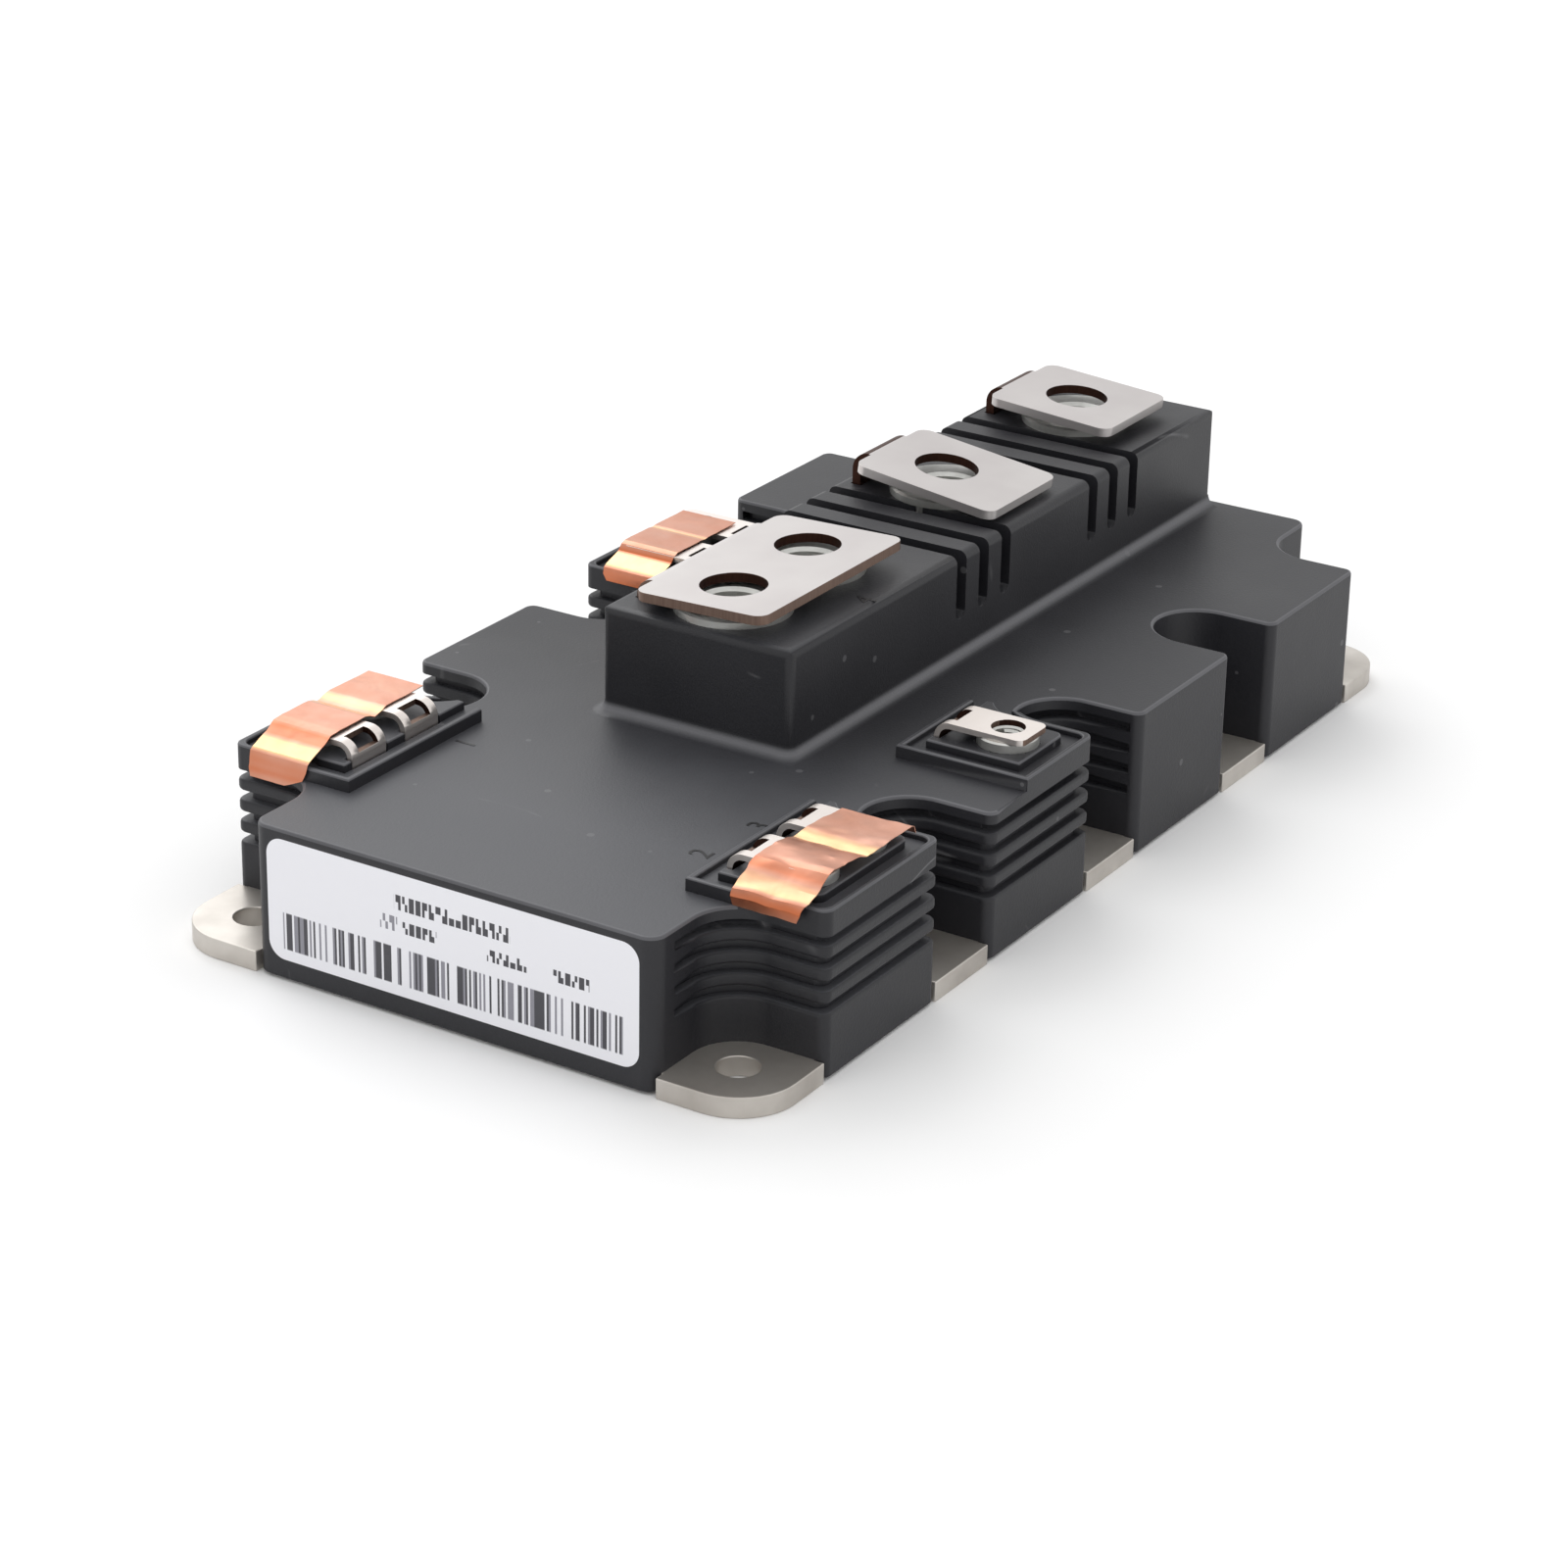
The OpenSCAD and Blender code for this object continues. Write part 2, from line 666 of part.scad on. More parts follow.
module positive_terminal() {
    main_terminal(positive_x, supply_l, supply_leg_w, main_feet[1], [positive_x],
        supply_top_z, positive_tilt, positive_reach);
}

module negative_terminal() {
    main_terminal(negative_x, supply_l, supply_leg_w, main_feet[2], [negative_x],
        supply_top_z, negative_tilt, 0);
}

module nut(af, h, collar_r, collar_h, thread_r) {
    difference() {
        union() {
            translate([0, 0, -h]) hexagon(af, h);
            cylinder(h = collar_h, r = collar_r);
        }
        translate([0, 0, -h - 1]) cylinder(h = h + collar_h + 2, r = thread_r);
    }
}

module main_nuts() {
    color("#c9c9c6") for (x = main_holes)
        translate([x, 0, raised_z])
            nut(main_nut_af, main_nut_h, main_collar_r, main_collar_h, main_thread_r);
}

module control_nuts() {
    color("#c9c9c6") for (c = controls)
        translate([c[1], c[0] * control_hole_y, pad_z])
            nut(control_nut_af, control_nut_h, control_collar_r,
                control_collar_z - pad_z, control_thread_r);
}

// Section of a control terminal: flat top, fold, leg and foot.
module control_section() {
    r = control_bend_r;
    union() {
        translate([control_leg_y + r, control_top_z - control_t])
            square([control_tip_y - control_leg_y - r, control_t]);
        translate([control_leg_y + r, control_top_z - r]) intersection() {
            difference() {
                circle(r);
                circle(r - control_t);
            }
            translate([-r, 0]) square([r, r]);
        }
        translate([control_leg_y, chip_z])
            square([control_t, control_top_z - r - chip_z]);
        translate([control_leg_y + control_t - foot_l, chip_z])
            square([foot_l, control_t]);
    }
}

module control_terminal(i) {
    c = controls[i - 1];
    color("lightgray") translate([c[1], 0, 0]) mirror([0, c[0] > 0 ? 0 : 1, 0])
        difference() {
            intersection() {
                translate([-control_w / 2, 0, 0]) rotate([90, 0, 90])
                    linear_extrude(control_w) control_section();
                translate([0, control_tip_y / 2, 0]) linear_extrude(far)
                    rounded([control_w, control_tip_y], tip_r);
            }
            translate([0, control_hole_y, control_top_z - 2 * control_t])
                cylinder(h = 3 * control_t, r = control_hole_r);
            translate([-window_w / 2, control_leg_y - 1, control_top_z - window_drop])
                cube([window_w, 1 + control_bend_r + window_reach, 2 * window_drop]);
        }
}

// A copper foil laid over a tray's terminals, its end folded down over the rim.
module shorting_foil(i) {
    t = foil_trays[i - 1];
    x0 = t[1] - foil_rim_gap;
    x1 = t[2] - foil_end_gap;
    z = control_top_z;
    near = (t[1] + t[2] - control_pitch - control_w) / 2;   // near edge of the terminals
    low = shoulder_z + foil_rim_gap;
    edge = tray_z + foil_rim_lift;
    color("#d98a5f") translate([0, t[0] * foil_y + foil_w / 2, 0]) rotate([90, 0, 0])
        linear_extrude(foil_w) polygon([
            [x1, z], [near, z], [x0, edge], [x0, low], [x0 - foil_t, low],
            [x0 - foil_t, edge + foil_t], [near - foil_t / 2, z + foil_t],
            [x1, z + foil_t]]);
}

module label() {
    color("white") translate([-end_x, 0, label_z]) rotate([90, 0, 90])
        linear_extrude(label_t) rounded([label_l, label_h], label_corner_r);
}

module ceramic(i) {
    color("#e9e6dc") translate([stack_x[i - 1], 0, ceramic_z]) linear_extrude(ceramic_t)
        square([ceramic_l, ceramic_w], center = true);
}

module backing(i) {
    color("#b87342") translate([stack_x[i - 1], 0, backing_z]) linear_extrude(copper_t)
        square([track_l, track_w], center = true);
}

// Three tracks: two outer ones that carry the chips, and one between them.
module tracks(i) {
    color("#b87342") translate([stack_x[i - 1], 0, track_z]) linear_extrude(copper_t) {
        square([track_l, emitter_w], center = true);
        for (y = [-chip_y, chip_y])
            translate([0, y]) square([track_l, collector_w], center = true);
    }
}

module chips(x, side) {
    for (y = [-1, 1])
        translate([x - side / 2, y > 0 ? inner_y : -inner_y - side, chip_z])
            cube([side, side, chip_t]);
}

module transistors(i) {
    color("#8f949c") chips(transistor_x(i), transistor_side);
}

module diodes(i) {
    color("#a3a8ae") chips(diode_x(i), diode_side);
}

// An arch of wire from a chip's top to the middle track.
module wire(x, y_side) {
    foot_y = 0.35;                  // keeps opposite wires' feet apart
    translate([x, y_side * (foot_y + wire_span) / 2, chip_z + chip_t + wire_r])
        rotate([90, 0, 90]) rotate_extrude(angle = 180)
        translate([(wire_span - foot_y) / 2, 0]) circle(wire_r, $fn = 16);
    translate([x, y_side * foot_y, chip_z])
        cylinder(h = chip_t + wire_r, r = wire_r, $fn = 16);
    translate([x, y_side * wire_span, chip_z + chip_t])
        cylinder(h = wire_r, r = wire_r, $fn = 16);
}

module bond_wires(i) {
    color("#d8d9db") for (c = [[transistor_x(i), transistor_side],
            [diode_x(i), diode_side]], y = [-1, 1], k = [0 : wires_per_chip - 1])
        wire(c[0] + (k - 1) * c[1] / wires_per_chip + y * 0.4, y);
}

// Copper straps that join the tracks of neighbouring substrates.
module track_links() {
    color("#b87342") for (i = [0 : last - 2], y = [-chip_y, 0, chip_y])
        translate([(stack_x[i] + stack_x[i + 1] - link_l) / 2, y - link_w / 2, chip_z])
            cube([link_l, link_w, copper_t]);
}

module thermistor() {
    color("#4f6b52")
        translate([stack_x[last - 1] + track_l / 2 - thermistor_margin - thermistor_l,
            -thermistor_l / 2, chip_z]) cube([thermistor_l, thermistor_l, thermistor_h]);
}

// Gel that fills the cavity over the substrates, with room left for legs and chips.
module silicone_gel() {
    color("#e8e4d8", 0.5) difference() {
        translate([0, 0, cavity_z]) linear_extrude(gel_z - cavity_z)
            housing_plan(wall_t);
        for (x = stack_x)
            translate([x - ceramic_l / 2, -ceramic_w / 2, cavity_z - 1])
                cube([ceramic_l, ceramic_w, wire_top - cavity_z + 1]);
        track_links();
        for (c = controls)
            translate([c[1] - control_w / 2,
                c[0] * (control_leg_y + control_t / 2 - foot_l / 2) - foot_l / 2
                - control_t / 2, cavity_z - 1])
                cube([control_w, foot_l + control_t, far]);
        for (m = main_feet) {
            translate([m[0] - m[1] / 2, leg_y - foot_l, cavity_z])
                cube([m[1], foot_l + main_t, wire_top - cavity_z]);
            translate([m[0] - m[1] / 2, leg_y, cavity_z]) cube([m[1], main_t, far]);
        }
    }
}

base_plate();
housing_frame();
housing_lid();
output_terminal();
positive_terminal();
negative_terminal();
main_nuts();
control_terminal(1);  // control_terminal_1
control_terminal(2);  // control_terminal_2
control_terminal(3);  // control_terminal_3
control_terminal(4);  // control_terminal_4
control_terminal(5);  // control_terminal_5
control_terminal(6);  // control_terminal_6
control_terminal(7);  // control_terminal_7
control_nuts();
shorting_foil(1);  // shorting_foil_1
shorting_foil(2);  // shorting_foil_2
shorting_foil(3);  // shorting_foil_3
label();
ceramic(1);  // ceramic_1
ceramic(2);  // ceramic_2
ceramic(3);  // ceramic_3
ceramic(4);  // ceramic_4
backing(1);  // backing_1
backing(2);  // backing_2
backing(3);  // backing_3
backing(4);  // backing_4
tracks(1);  // tracks_1
tracks(2);  // tracks_2
tracks(3);  // tracks_3
tracks(4);  // tracks_4
transistors(1);  // transistors_1
transistors(2);  // transistors_2
transistors(3);  // transistors_3
transistors(4);  // transistors_4
diodes(1);  // diodes_1
diodes(2);  // diodes_2
diodes(3);  // diodes_3
diodes(4);  // diodes_4
bond_wires(1);  // bond_wires_1
bond_wires(2);  // bond_wires_2
bond_wires(3);  // bond_wires_3
bond_wires(4);  // bond_wires_4
track_links();
thermistor();
silicone_gel();
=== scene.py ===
import math
import bmesh
import bpy
from mathutils import Matrix, Vector, noise


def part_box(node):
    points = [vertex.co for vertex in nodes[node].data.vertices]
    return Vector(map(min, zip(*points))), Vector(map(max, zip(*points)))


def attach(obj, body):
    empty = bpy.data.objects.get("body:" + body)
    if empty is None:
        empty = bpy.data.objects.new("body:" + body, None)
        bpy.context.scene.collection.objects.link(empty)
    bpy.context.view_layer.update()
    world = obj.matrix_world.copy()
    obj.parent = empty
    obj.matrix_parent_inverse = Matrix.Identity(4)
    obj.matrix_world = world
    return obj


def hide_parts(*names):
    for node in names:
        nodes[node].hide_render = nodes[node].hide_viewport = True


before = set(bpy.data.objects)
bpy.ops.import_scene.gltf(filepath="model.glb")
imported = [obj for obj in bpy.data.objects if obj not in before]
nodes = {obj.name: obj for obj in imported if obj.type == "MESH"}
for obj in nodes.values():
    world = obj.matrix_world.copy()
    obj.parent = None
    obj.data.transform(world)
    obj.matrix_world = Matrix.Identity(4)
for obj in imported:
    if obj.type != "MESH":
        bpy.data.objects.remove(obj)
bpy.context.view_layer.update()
mm = 0.001
print("frame loaded:", len(nodes), "nodes")


# ---- small helpers for shader trees ----

def tint(red, green, blue):
    # a display colour from 0 to 255, as the shader wants it
    channels = []
    for value in (red, green, blue):
        value = value / 255
        channels.append(value / 12.92 if value <= 0.04045 else ((value + 0.055) / 1.055) ** 2.4)
    return (*channels, 1.0)


def feed(tree, socket, value):
    if isinstance(value, bpy.types.NodeSocket):
        tree.links.new(value, socket)
    else:
        socket.default_value = value


def addNode(tree, kind, inputs=None, **settings):
    node = tree.nodes.new("ShaderNode" + kind)
    for key, value in settings.items():
        setattr(node, key, value)
    for key, value in (inputs or {}).items():
        feed(tree, node.inputs[key], value)
    return node


def doMath(tree, operation, first, second=0.0, third=None):
    inputs = {0: first, 1: second}
    if third is not None:
        inputs[2] = third
    return addNode(tree, "Math", inputs, operation=operation).outputs[0]


def mixColour(tree, factor, first, second):
    node = addNode(tree, "Mix", data_type="RGBA")
    for index, value in ((0, factor), (6, first), (7, second)):
        feed(tree, node.inputs[index], value)
    return node.outputs[2]


def remap(tree, value, low, high, toLow=0.0, toHigh=1.0):
    inputs = {"Value": value, "From Min": low, "From Max": high,
              "To Min": toLow, "To Max": toHigh}
    return addNode(tree, "MapRange", inputs).outputs[0]


def bandMask(tree, value, low, high, soft=0.00008):
    # 1 between low and high, with a soft edge
    rise = remap(tree, value, low - soft, low + soft)
    fall = remap(tree, value, high - soft, high + soft)
    return doMath(tree, "SUBTRACT", rise, fall)


def newGroup(name, inputs, outputs):
    group = bpy.data.node_groups.new(name, "ShaderNodeTree")
    for label, kind, start in inputs:
        socket = group.interface.new_socket(label, in_out="INPUT", socket_type="NodeSocket" + kind)
        if start is not None:
            socket.default_value = start
    for label, kind in outputs:
        group.interface.new_socket(label, in_out="OUTPUT", socket_type="NodeSocket" + kind)
    source = group.nodes.new("NodeGroupInput")
    target = group.nodes.new("NodeGroupOutput")
    return group, source, target


def useGroup(tree, group, inputs):
    node = tree.nodes.new("ShaderNodeGroup")
    node.node_tree = group
    for key, value in inputs.items():
        feed(tree, node.inputs[key], value)
    return node


def newMaterial(name, **sockets):
    material = bpy.data.materials.new(name)
    material.use_nodes = True
    tree = material.node_tree
    shader = tree.nodes["Principled BSDF"]
    for key, value in sockets.items():
        shader.inputs[key.replace("_", " ")].default_value = value
    place = addNode(tree, "TexCoord").outputs["Object"]
    return material, tree, shader, place


def addBump(tree, shader, height, depth):
    bump = addNode(tree, "Bump", {"Height": height, "Distance": depth, "Strength": 1.0})
    tree.links.new(bump.outputs["Normal"], shader.inputs["Normal"])


def finishShader(tree, shader, colour, rough, height, depth):
    # what every finish has: a colour, a gloss and a fine relief
    tree.links.new(colour, shader.inputs["Base Color"])
    tree.links.new(rough, shader.inputs["Roughness"])
    addBump(tree, shader, height, depth)


# ---- shared effects ----

effectLook = {
    "toneLow": 0.3, "toneHigh": 0.7, "scratchPatch": 95.0, "scratchLow": 0.56,
    "scratchHigh": 0.66, "dustShare": 0.86, "cloudScale": 60.0,
}


def makeGrainGroup():
    # fine moulded or blasted grain, and a slow change of tone over the surface
    group, source, target = newGroup(
        "fineGrain", [("Vector", "Vector", None), ("Grain", "Float", 3500.0),
                      ("Patch", "Float", 45.0)],
        [("Height", "Float"), ("Tone", "Float")])
    fine = addNode(group, "TexNoise", {"Vector": source.outputs["Vector"],
                                       "Scale": source.outputs["Grain"],
                                       "Detail": 3.0, "Roughness": 0.65})
    broad = addNode(group, "TexNoise", {"Vector": source.outputs["Vector"],
                                        "Scale": source.outputs["Patch"],
                                        "Detail": 4.0, "Roughness": 0.55})
    tone = remap(group, broad.outputs[0], effectLook["toneLow"], effectLook["toneHigh"])
    group.links.new(fine.outputs[0], target.inputs["Height"])
    group.links.new(tone, target.inputs["Tone"])
    return group


def makeScuffGroup():
    # a few hair scratches that wander over the surface
    group, source, target = newGroup(
        "hairScratches", [("Vector", "Vector", None), ("Scale", "Float", 30.0),
                          ("Width", "Float", 0.006), ("Amount", "Float", 0.5)],
        [("Mask", "Float")])
    line = addNode(group, "TexNoise", {"Vector": source.outputs["Vector"],
                                       "Scale": source.outputs["Scale"],
                                       "Detail": 1.0, "Roughness": 0.3})
    distance = doMath(group, "ABSOLUTE", doMath(group, "SUBTRACT", line.outputs[0], 0.5))
    thin = doMath(group, "SUBTRACT", 1.0,
                  doMath(group, "DIVIDE", distance, source.outputs["Width"]))
    where = addNode(group, "TexNoise", {"Vector": source.outputs["Vector"],
                                        "Scale": effectLook["scratchPatch"],
                                        "Detail": 2.0})
    few = remap(group, where.outputs[0], effectLook["scratchLow"], effectLook["scratchHigh"])
    mask = doMath(group, "MULTIPLY", doMath(group, "MAXIMUM", thin, 0.0), few)
    mask = doMath(group, "MULTIPLY", mask, source.outputs["Amount"])
    group.links.new(mask, target.inputs["Mask"])
    return group


def makeDustGroup():
    # loose specks of dust
    group, source, target = newGroup(
        "dustSpecks", [("Vector", "Vector", None), ("Scale", "Float", 420.0),
                       ("Size", "Float", 0.12)],
        [("Mask", "Float")])
    cells = addNode(group, "TexVoronoi", {"Vector": source.outputs["Vector"],
                                          "Scale": source.outputs["Scale"]})
    chance = addNode(group, "SeparateColor", {"Color": cells.outputs["Color"]})
    few = doMath(group, "GREATER_THAN", chance.outputs[0], effectLook["dustShare"])
    near = doMath(group, "LESS_THAN", cells.outputs["Distance"], source.outputs["Size"])
    group.links.new(doMath(group, "MULTIPLY", few, near), target.inputs["Mask"])
    return group


def makeRollGroup():
    # rolling lines of sheet metal, drawn out along one axis by Stretch
    group, source, target = newGroup(
        "rollingLines", [("Vector", "Vector", None), ("Stretch", "Vector", (1.0, 1.0, 1.0)),
                         ("Scale", "Float", 900.0)],
        [("Height", "Float"), ("Tone", "Float")])
    turned = addNode(group, "VectorMath", {0: source.outputs["Vector"],
                                           1: source.outputs["Stretch"]}, operation="MULTIPLY")
    lines = addNode(group, "TexNoise", {"Vector": turned.outputs[0],
                                        "Scale": source.outputs["Scale"],
                                        "Detail": 3.0, "Roughness": 0.6})
    cloud = addNode(group, "TexNoise", {"Vector": source.outputs["Vector"],
                                        "Scale": effectLook["cloudScale"], "Detail": 3.0})
    group.links.new(lines.outputs[0], target.inputs["Height"])
    tone = remap(group, cloud.outputs[0], effectLook["toneLow"], effectLook["toneHigh"])
    group.links.new(tone, target.inputs["Tone"])
    return group


grainGroup = makeGrainGroup()
scuffGroup = makeScuffGroup()
dustGroup = makeDustGroup()
rollGroup = makeRollGroup()


# ---- materials ----

housingLook = {
    # the third colour is a painted highlight for the edge roundings
    "colour": tint(30, 30, 34), "paleColour": tint(40, 40, 44), "edgeHighlightColour": tint(104, 104, 108),
    "specular": 0.4, "roughLow": 0.42, "roughHigh": 0.53,
    "grain": 2600.0, "patch": 38.0, "grainDepth": 0.03 * mm, "highlightLeast": 0.6,
    # hair scratches and specks
    "scratchColour": tint(128, 128, 130), "scratchScale": 26.0, "scratchWidth": 0.004,
    "scratchAmount": 0.55, "dustScale": 260.0, "dustSize": 0.13, "dustAmount": 0.3,
    # painted sheen, stronger the more a face looks up and towards the labelled end
    "sheenColour": tint(84, 85, 89), "sheenTiltLow": 0.75, "sheenTiltHigh": 0.97,
    "sheenLeast": 0.12, "sheenStart": -18 * mm, "sheenFull": -64 * mm, "sheenThin": 0.75,
    # the painted highlight in the fillet round the raised block's foot
    "footHighlightColour": tint(112, 112, 116), "footHighlightAmount": 0.75, "footSoft": 0.3 * mm,
    "footFade": 0.4 * mm, "footLow": 20.95 * mm, "footHigh": 21.9 * mm,
    "footHalf": 15.9 * mm, "footStart": -34.4 * mm,
}


def paintedTopSheen(tree, axes, tone):
    # painted sheen: faces that look up are made lighter, most of all at the labelled end
    look = housingLook
    normal = addNode(tree, "NewGeometry").outputs["Normal"]
    facing = addNode(tree, "SeparateXYZ", {"Vector": normal}).outputs["Z"]
    sheen = doMath(tree, "MULTIPLY",
                  remap(tree, facing, look["sheenTiltLow"], look["sheenTiltHigh"]),
                  remap(tree, axes.outputs["X"], look["sheenStart"], look["sheenFull"],
                        look["sheenLeast"], 1.0))
    return doMath(tree, "MULTIPLY", sheen, remap(tree, tone, 0.0, 1.0, look["sheenThin"], 1.0))


def paintedFootHighlight(tree, axes):
    # painted highlight: a light band in the block's foot fillet
    look = housingLook
    across = doMath(tree, "ABSOLUTE", axes.outputs["Y"])
    half, start, fade = look["footHalf"], look["footStart"], look["footFade"]
    foot = bandMask(tree, axes.outputs["Z"], look["footLow"], look["footHigh"],
                    look["footSoft"])
    foot = doMath(tree, "MULTIPLY", foot, remap(tree, across, half, half - fade))
    foot = doMath(tree, "MULTIPLY", foot, remap(tree, axes.outputs["X"], start, start + fade))
    return doMath(tree, "MULTIPLY", foot, look["footHighlightAmount"])


def makeHousingPlastic(name, edgeHighlightShare=0.0):
    # the second argument is how far the colour goes over to a painted highlight on the edge
    # roundings
    look = housingLook
    material, tree, shader, place = newMaterial(name, Specular_IOR_Level=look["specular"])
    grain = useGroup(tree, grainGroup, {"Vector": place, "Grain": look["grain"],
                                        "Patch": look["patch"]})
    scuff = useGroup(tree, scuffGroup, {"Vector": place, "Scale": look["scratchScale"],
                                        "Width": look["scratchWidth"],
                                        "Amount": look["scratchAmount"]})
    dust = useGroup(tree, dustGroup, {"Vector": place, "Scale": look["dustScale"],
                                      "Size": look["dustSize"]})
    axes = addNode(tree, "SeparateXYZ", {"Vector": place})
    tone = grain.outputs["Tone"]
    colour = mixColour(tree, tone, look["colour"], look["paleColour"])
    # painted sheen on the faces that look up
    colour = mixColour(tree, paintedTopSheen(tree, axes, tone), colour, look["sheenColour"])
    if edgeHighlightShare:
        # painted highlight on the edge roundings, varied with the grain's tone
        edgeHighlight = remap(tree, tone, 0.0, 1.0, look["highlightLeast"] * edgeHighlightShare, edgeHighlightShare)
        colour = mixColour(tree, edgeHighlight, colour, look["edgeHighlightColour"])
    marks = doMath(tree, "MAXIMUM", scuff.outputs["Mask"],
                   doMath(tree, "MULTIPLY", dust.outputs["Mask"], look["dustAmount"]))
    colour = mixColour(tree, marks, colour, look["scratchColour"])
    # painted highlight along the raised block's foot
    colour = mixColour(tree, paintedFootHighlight(tree, axes), colour, look["footHighlightColour"])
    rough = remap(tree, tone, 0.0, 1.0, look["roughLow"], look["roughHigh"])
    finishShader(tree, shader, colour, rough, grain.outputs["Height"], look["grainDepth"])
    return material


terminalLook = {
    "roughLow": 0.36, "roughHigh": 0.46, "lineDepth": 0.004 * mm,
    "lineScale": 2200.0, "lineStretch": (0.05, 1.0, 1.0),
    "nickelSheet": {"colour": tint(206, 202, 200), "dullColour": tint(192, 187, 186)},
    "nickelStrip": {"colour": tint(238, 231, 226), "dullColour": tint(222, 214, 208)},
}


def makeNickelSheet(name):
    look = {**terminalLook, **terminalLook[name]}
    material, tree, shader, place = newMaterial(name, Metallic=1.0)
    roll = useGroup(tree, rollGroup, {"Vector": place, "Stretch": look["lineStretch"],
                                      "Scale": look["lineScale"]})
    colour = mixColour(tree, roll.outputs["Tone"], look["colour"], look["dullColour"])
    rough = remap(tree, roll.outputs["Tone"], 0.0, 1.0, look["roughLow"], look["roughHigh"])
    finishShader(tree, shader, colour, rough, roll.outputs["Height"], look["lineDepth"])
    return material


shearedLook = {
    "roughLow": 0.42, "roughHigh": 0.6, "lineDepth": 0.01 * mm,
    "lineScale": 2600.0, "lineStretch": (1.0, 1.0, 0.08),
    "shearedCopper": {"colour": tint(150, 128, 116), "darkColour": tint(104, 84, 74)},
    "brownCopper": {"colour": tint(84, 56, 46), "darkColour": tint(46, 32, 29)},
}


def makeShearedCopper(name):
    # the bare copper core that shows on punched edges, with shear marks across the sheet
    look = {**shearedLook, **shearedLook[name]}
    material, tree, shader, place = newMaterial(name, Metallic=1.0)
    roll = useGroup(tree, rollGroup, {"Vector": place, "Stretch": look["lineStretch"],
                                      "Scale": look["lineScale"]})
    lines = roll.outputs["Height"]
    colour = mixColour(tree, lines, look["darkColour"], look["colour"])
    rough = remap(tree, lines, 0.2, 0.8, look["roughLow"], look["roughHigh"])
    finishShader(tree, shader, colour, rough, lines, look["lineDepth"])
    return material


foilLook = {
    "colour": tint(210, 162, 142), "warmColour": tint(198, 142, 118),
    # painted light for the folds: a deep painted reflection for creases, a pale painted highlight
    # for panels
    "creaseReflectionColour": tint(196, 104, 60), "paleColour": tint(250, 208, 152),
    "roughLow": 0.3, "roughHigh": 0.44, "grain": 420.0, "patch": 130.0,
    "wrinkleScale": 210.0, "wrinkleTurn": 0.6, "wrinkleDepth": 0.09 * mm,
}


def makeCopperFoil():
    look = foilLook
    material, tree, shader, place = newMaterial("copperFoil", Metallic=1.0)
    grain = useGroup(tree, grainGroup, {"Vector": place, "Grain": look["grain"],
                                        "Patch": look["patch"]})
    wrinkle = addNode(tree, "TexNoise", {"Vector": place, "Scale": look["wrinkleScale"],
                                         "Detail": 2.0, "Roughness": 0.5,
                                         "Distortion": look["wrinkleTurn"]})
    colour = mixColour(tree, grain.outputs["Tone"], look["colour"], look["warmColour"])
    # painted light on the folds: above 0 a deep painted reflection in the creases, below 0 a pale
    # painted highlight on the panels
    fold = addNode(tree, "Attribute", attribute_name="foldLight").outputs["Fac"]
    colour = mixColour(tree, remap(tree, fold, 0.0, 1.0), colour, look["creaseReflectionColour"])
    colour = mixColour(tree, remap(tree, fold, 0.0, -1.0), colour, look["paleColour"])
    rough = remap(tree, grain.outputs["Height"], 0.2, 0.8, look["roughLow"], look["roughHigh"])
    finishShader(tree, shader, colour, rough, wrinkle.outputs[0], look["wrinkleDepth"])
    return material


labelLook = {
    "paper": tint(238, 238, 243), "ink": tint(56, 55, 62), "greyInk": tint(136, 135, 144),
    "roughness": 0.32, "coat": 0.25, "coatRoughness": 0.2, "grain": 900.0, "patch": 60.0,
    "grainDepth": 0.03 * mm,
    "barsFrom": 4.5, "barsTo": 9.5, "barsHalf": 25.4, "barPitch": 0.3,
    "barGaps": 0.38, "greyFrom": 0.72,
    "tickPitch": 0.5, "lowTicks": 0.3, "highTicks": 0.78, "tickGap": (0.08 * mm, 0.14 * mm),
    # middle y, middle z, half length and half height of each row of ticks, and its ink
    "marks": [(-0.5, 15.6, 8.6, 1.0, "ink"), (9.0, 12.6, 1.3, 1.0, "greyInk"),
              (4.4, 12.4, 2.6, 0.8, "ink"), (-8.6, 12.2, 2.9, 0.8, "ink"),
              (-18.0, 12.2, 2.6, 0.8, "ink")],
}


def stripDice(tree, across, pitch):
    # one random number for each strip of the given width
    column = doMath(tree, "FLOOR", doMath(tree, "DIVIDE", across, pitch))
    dice = addNode(tree, "TexWhiteNoise", {"W": column}, noise_dimensions="1D")
    return dice.outputs["Value"]


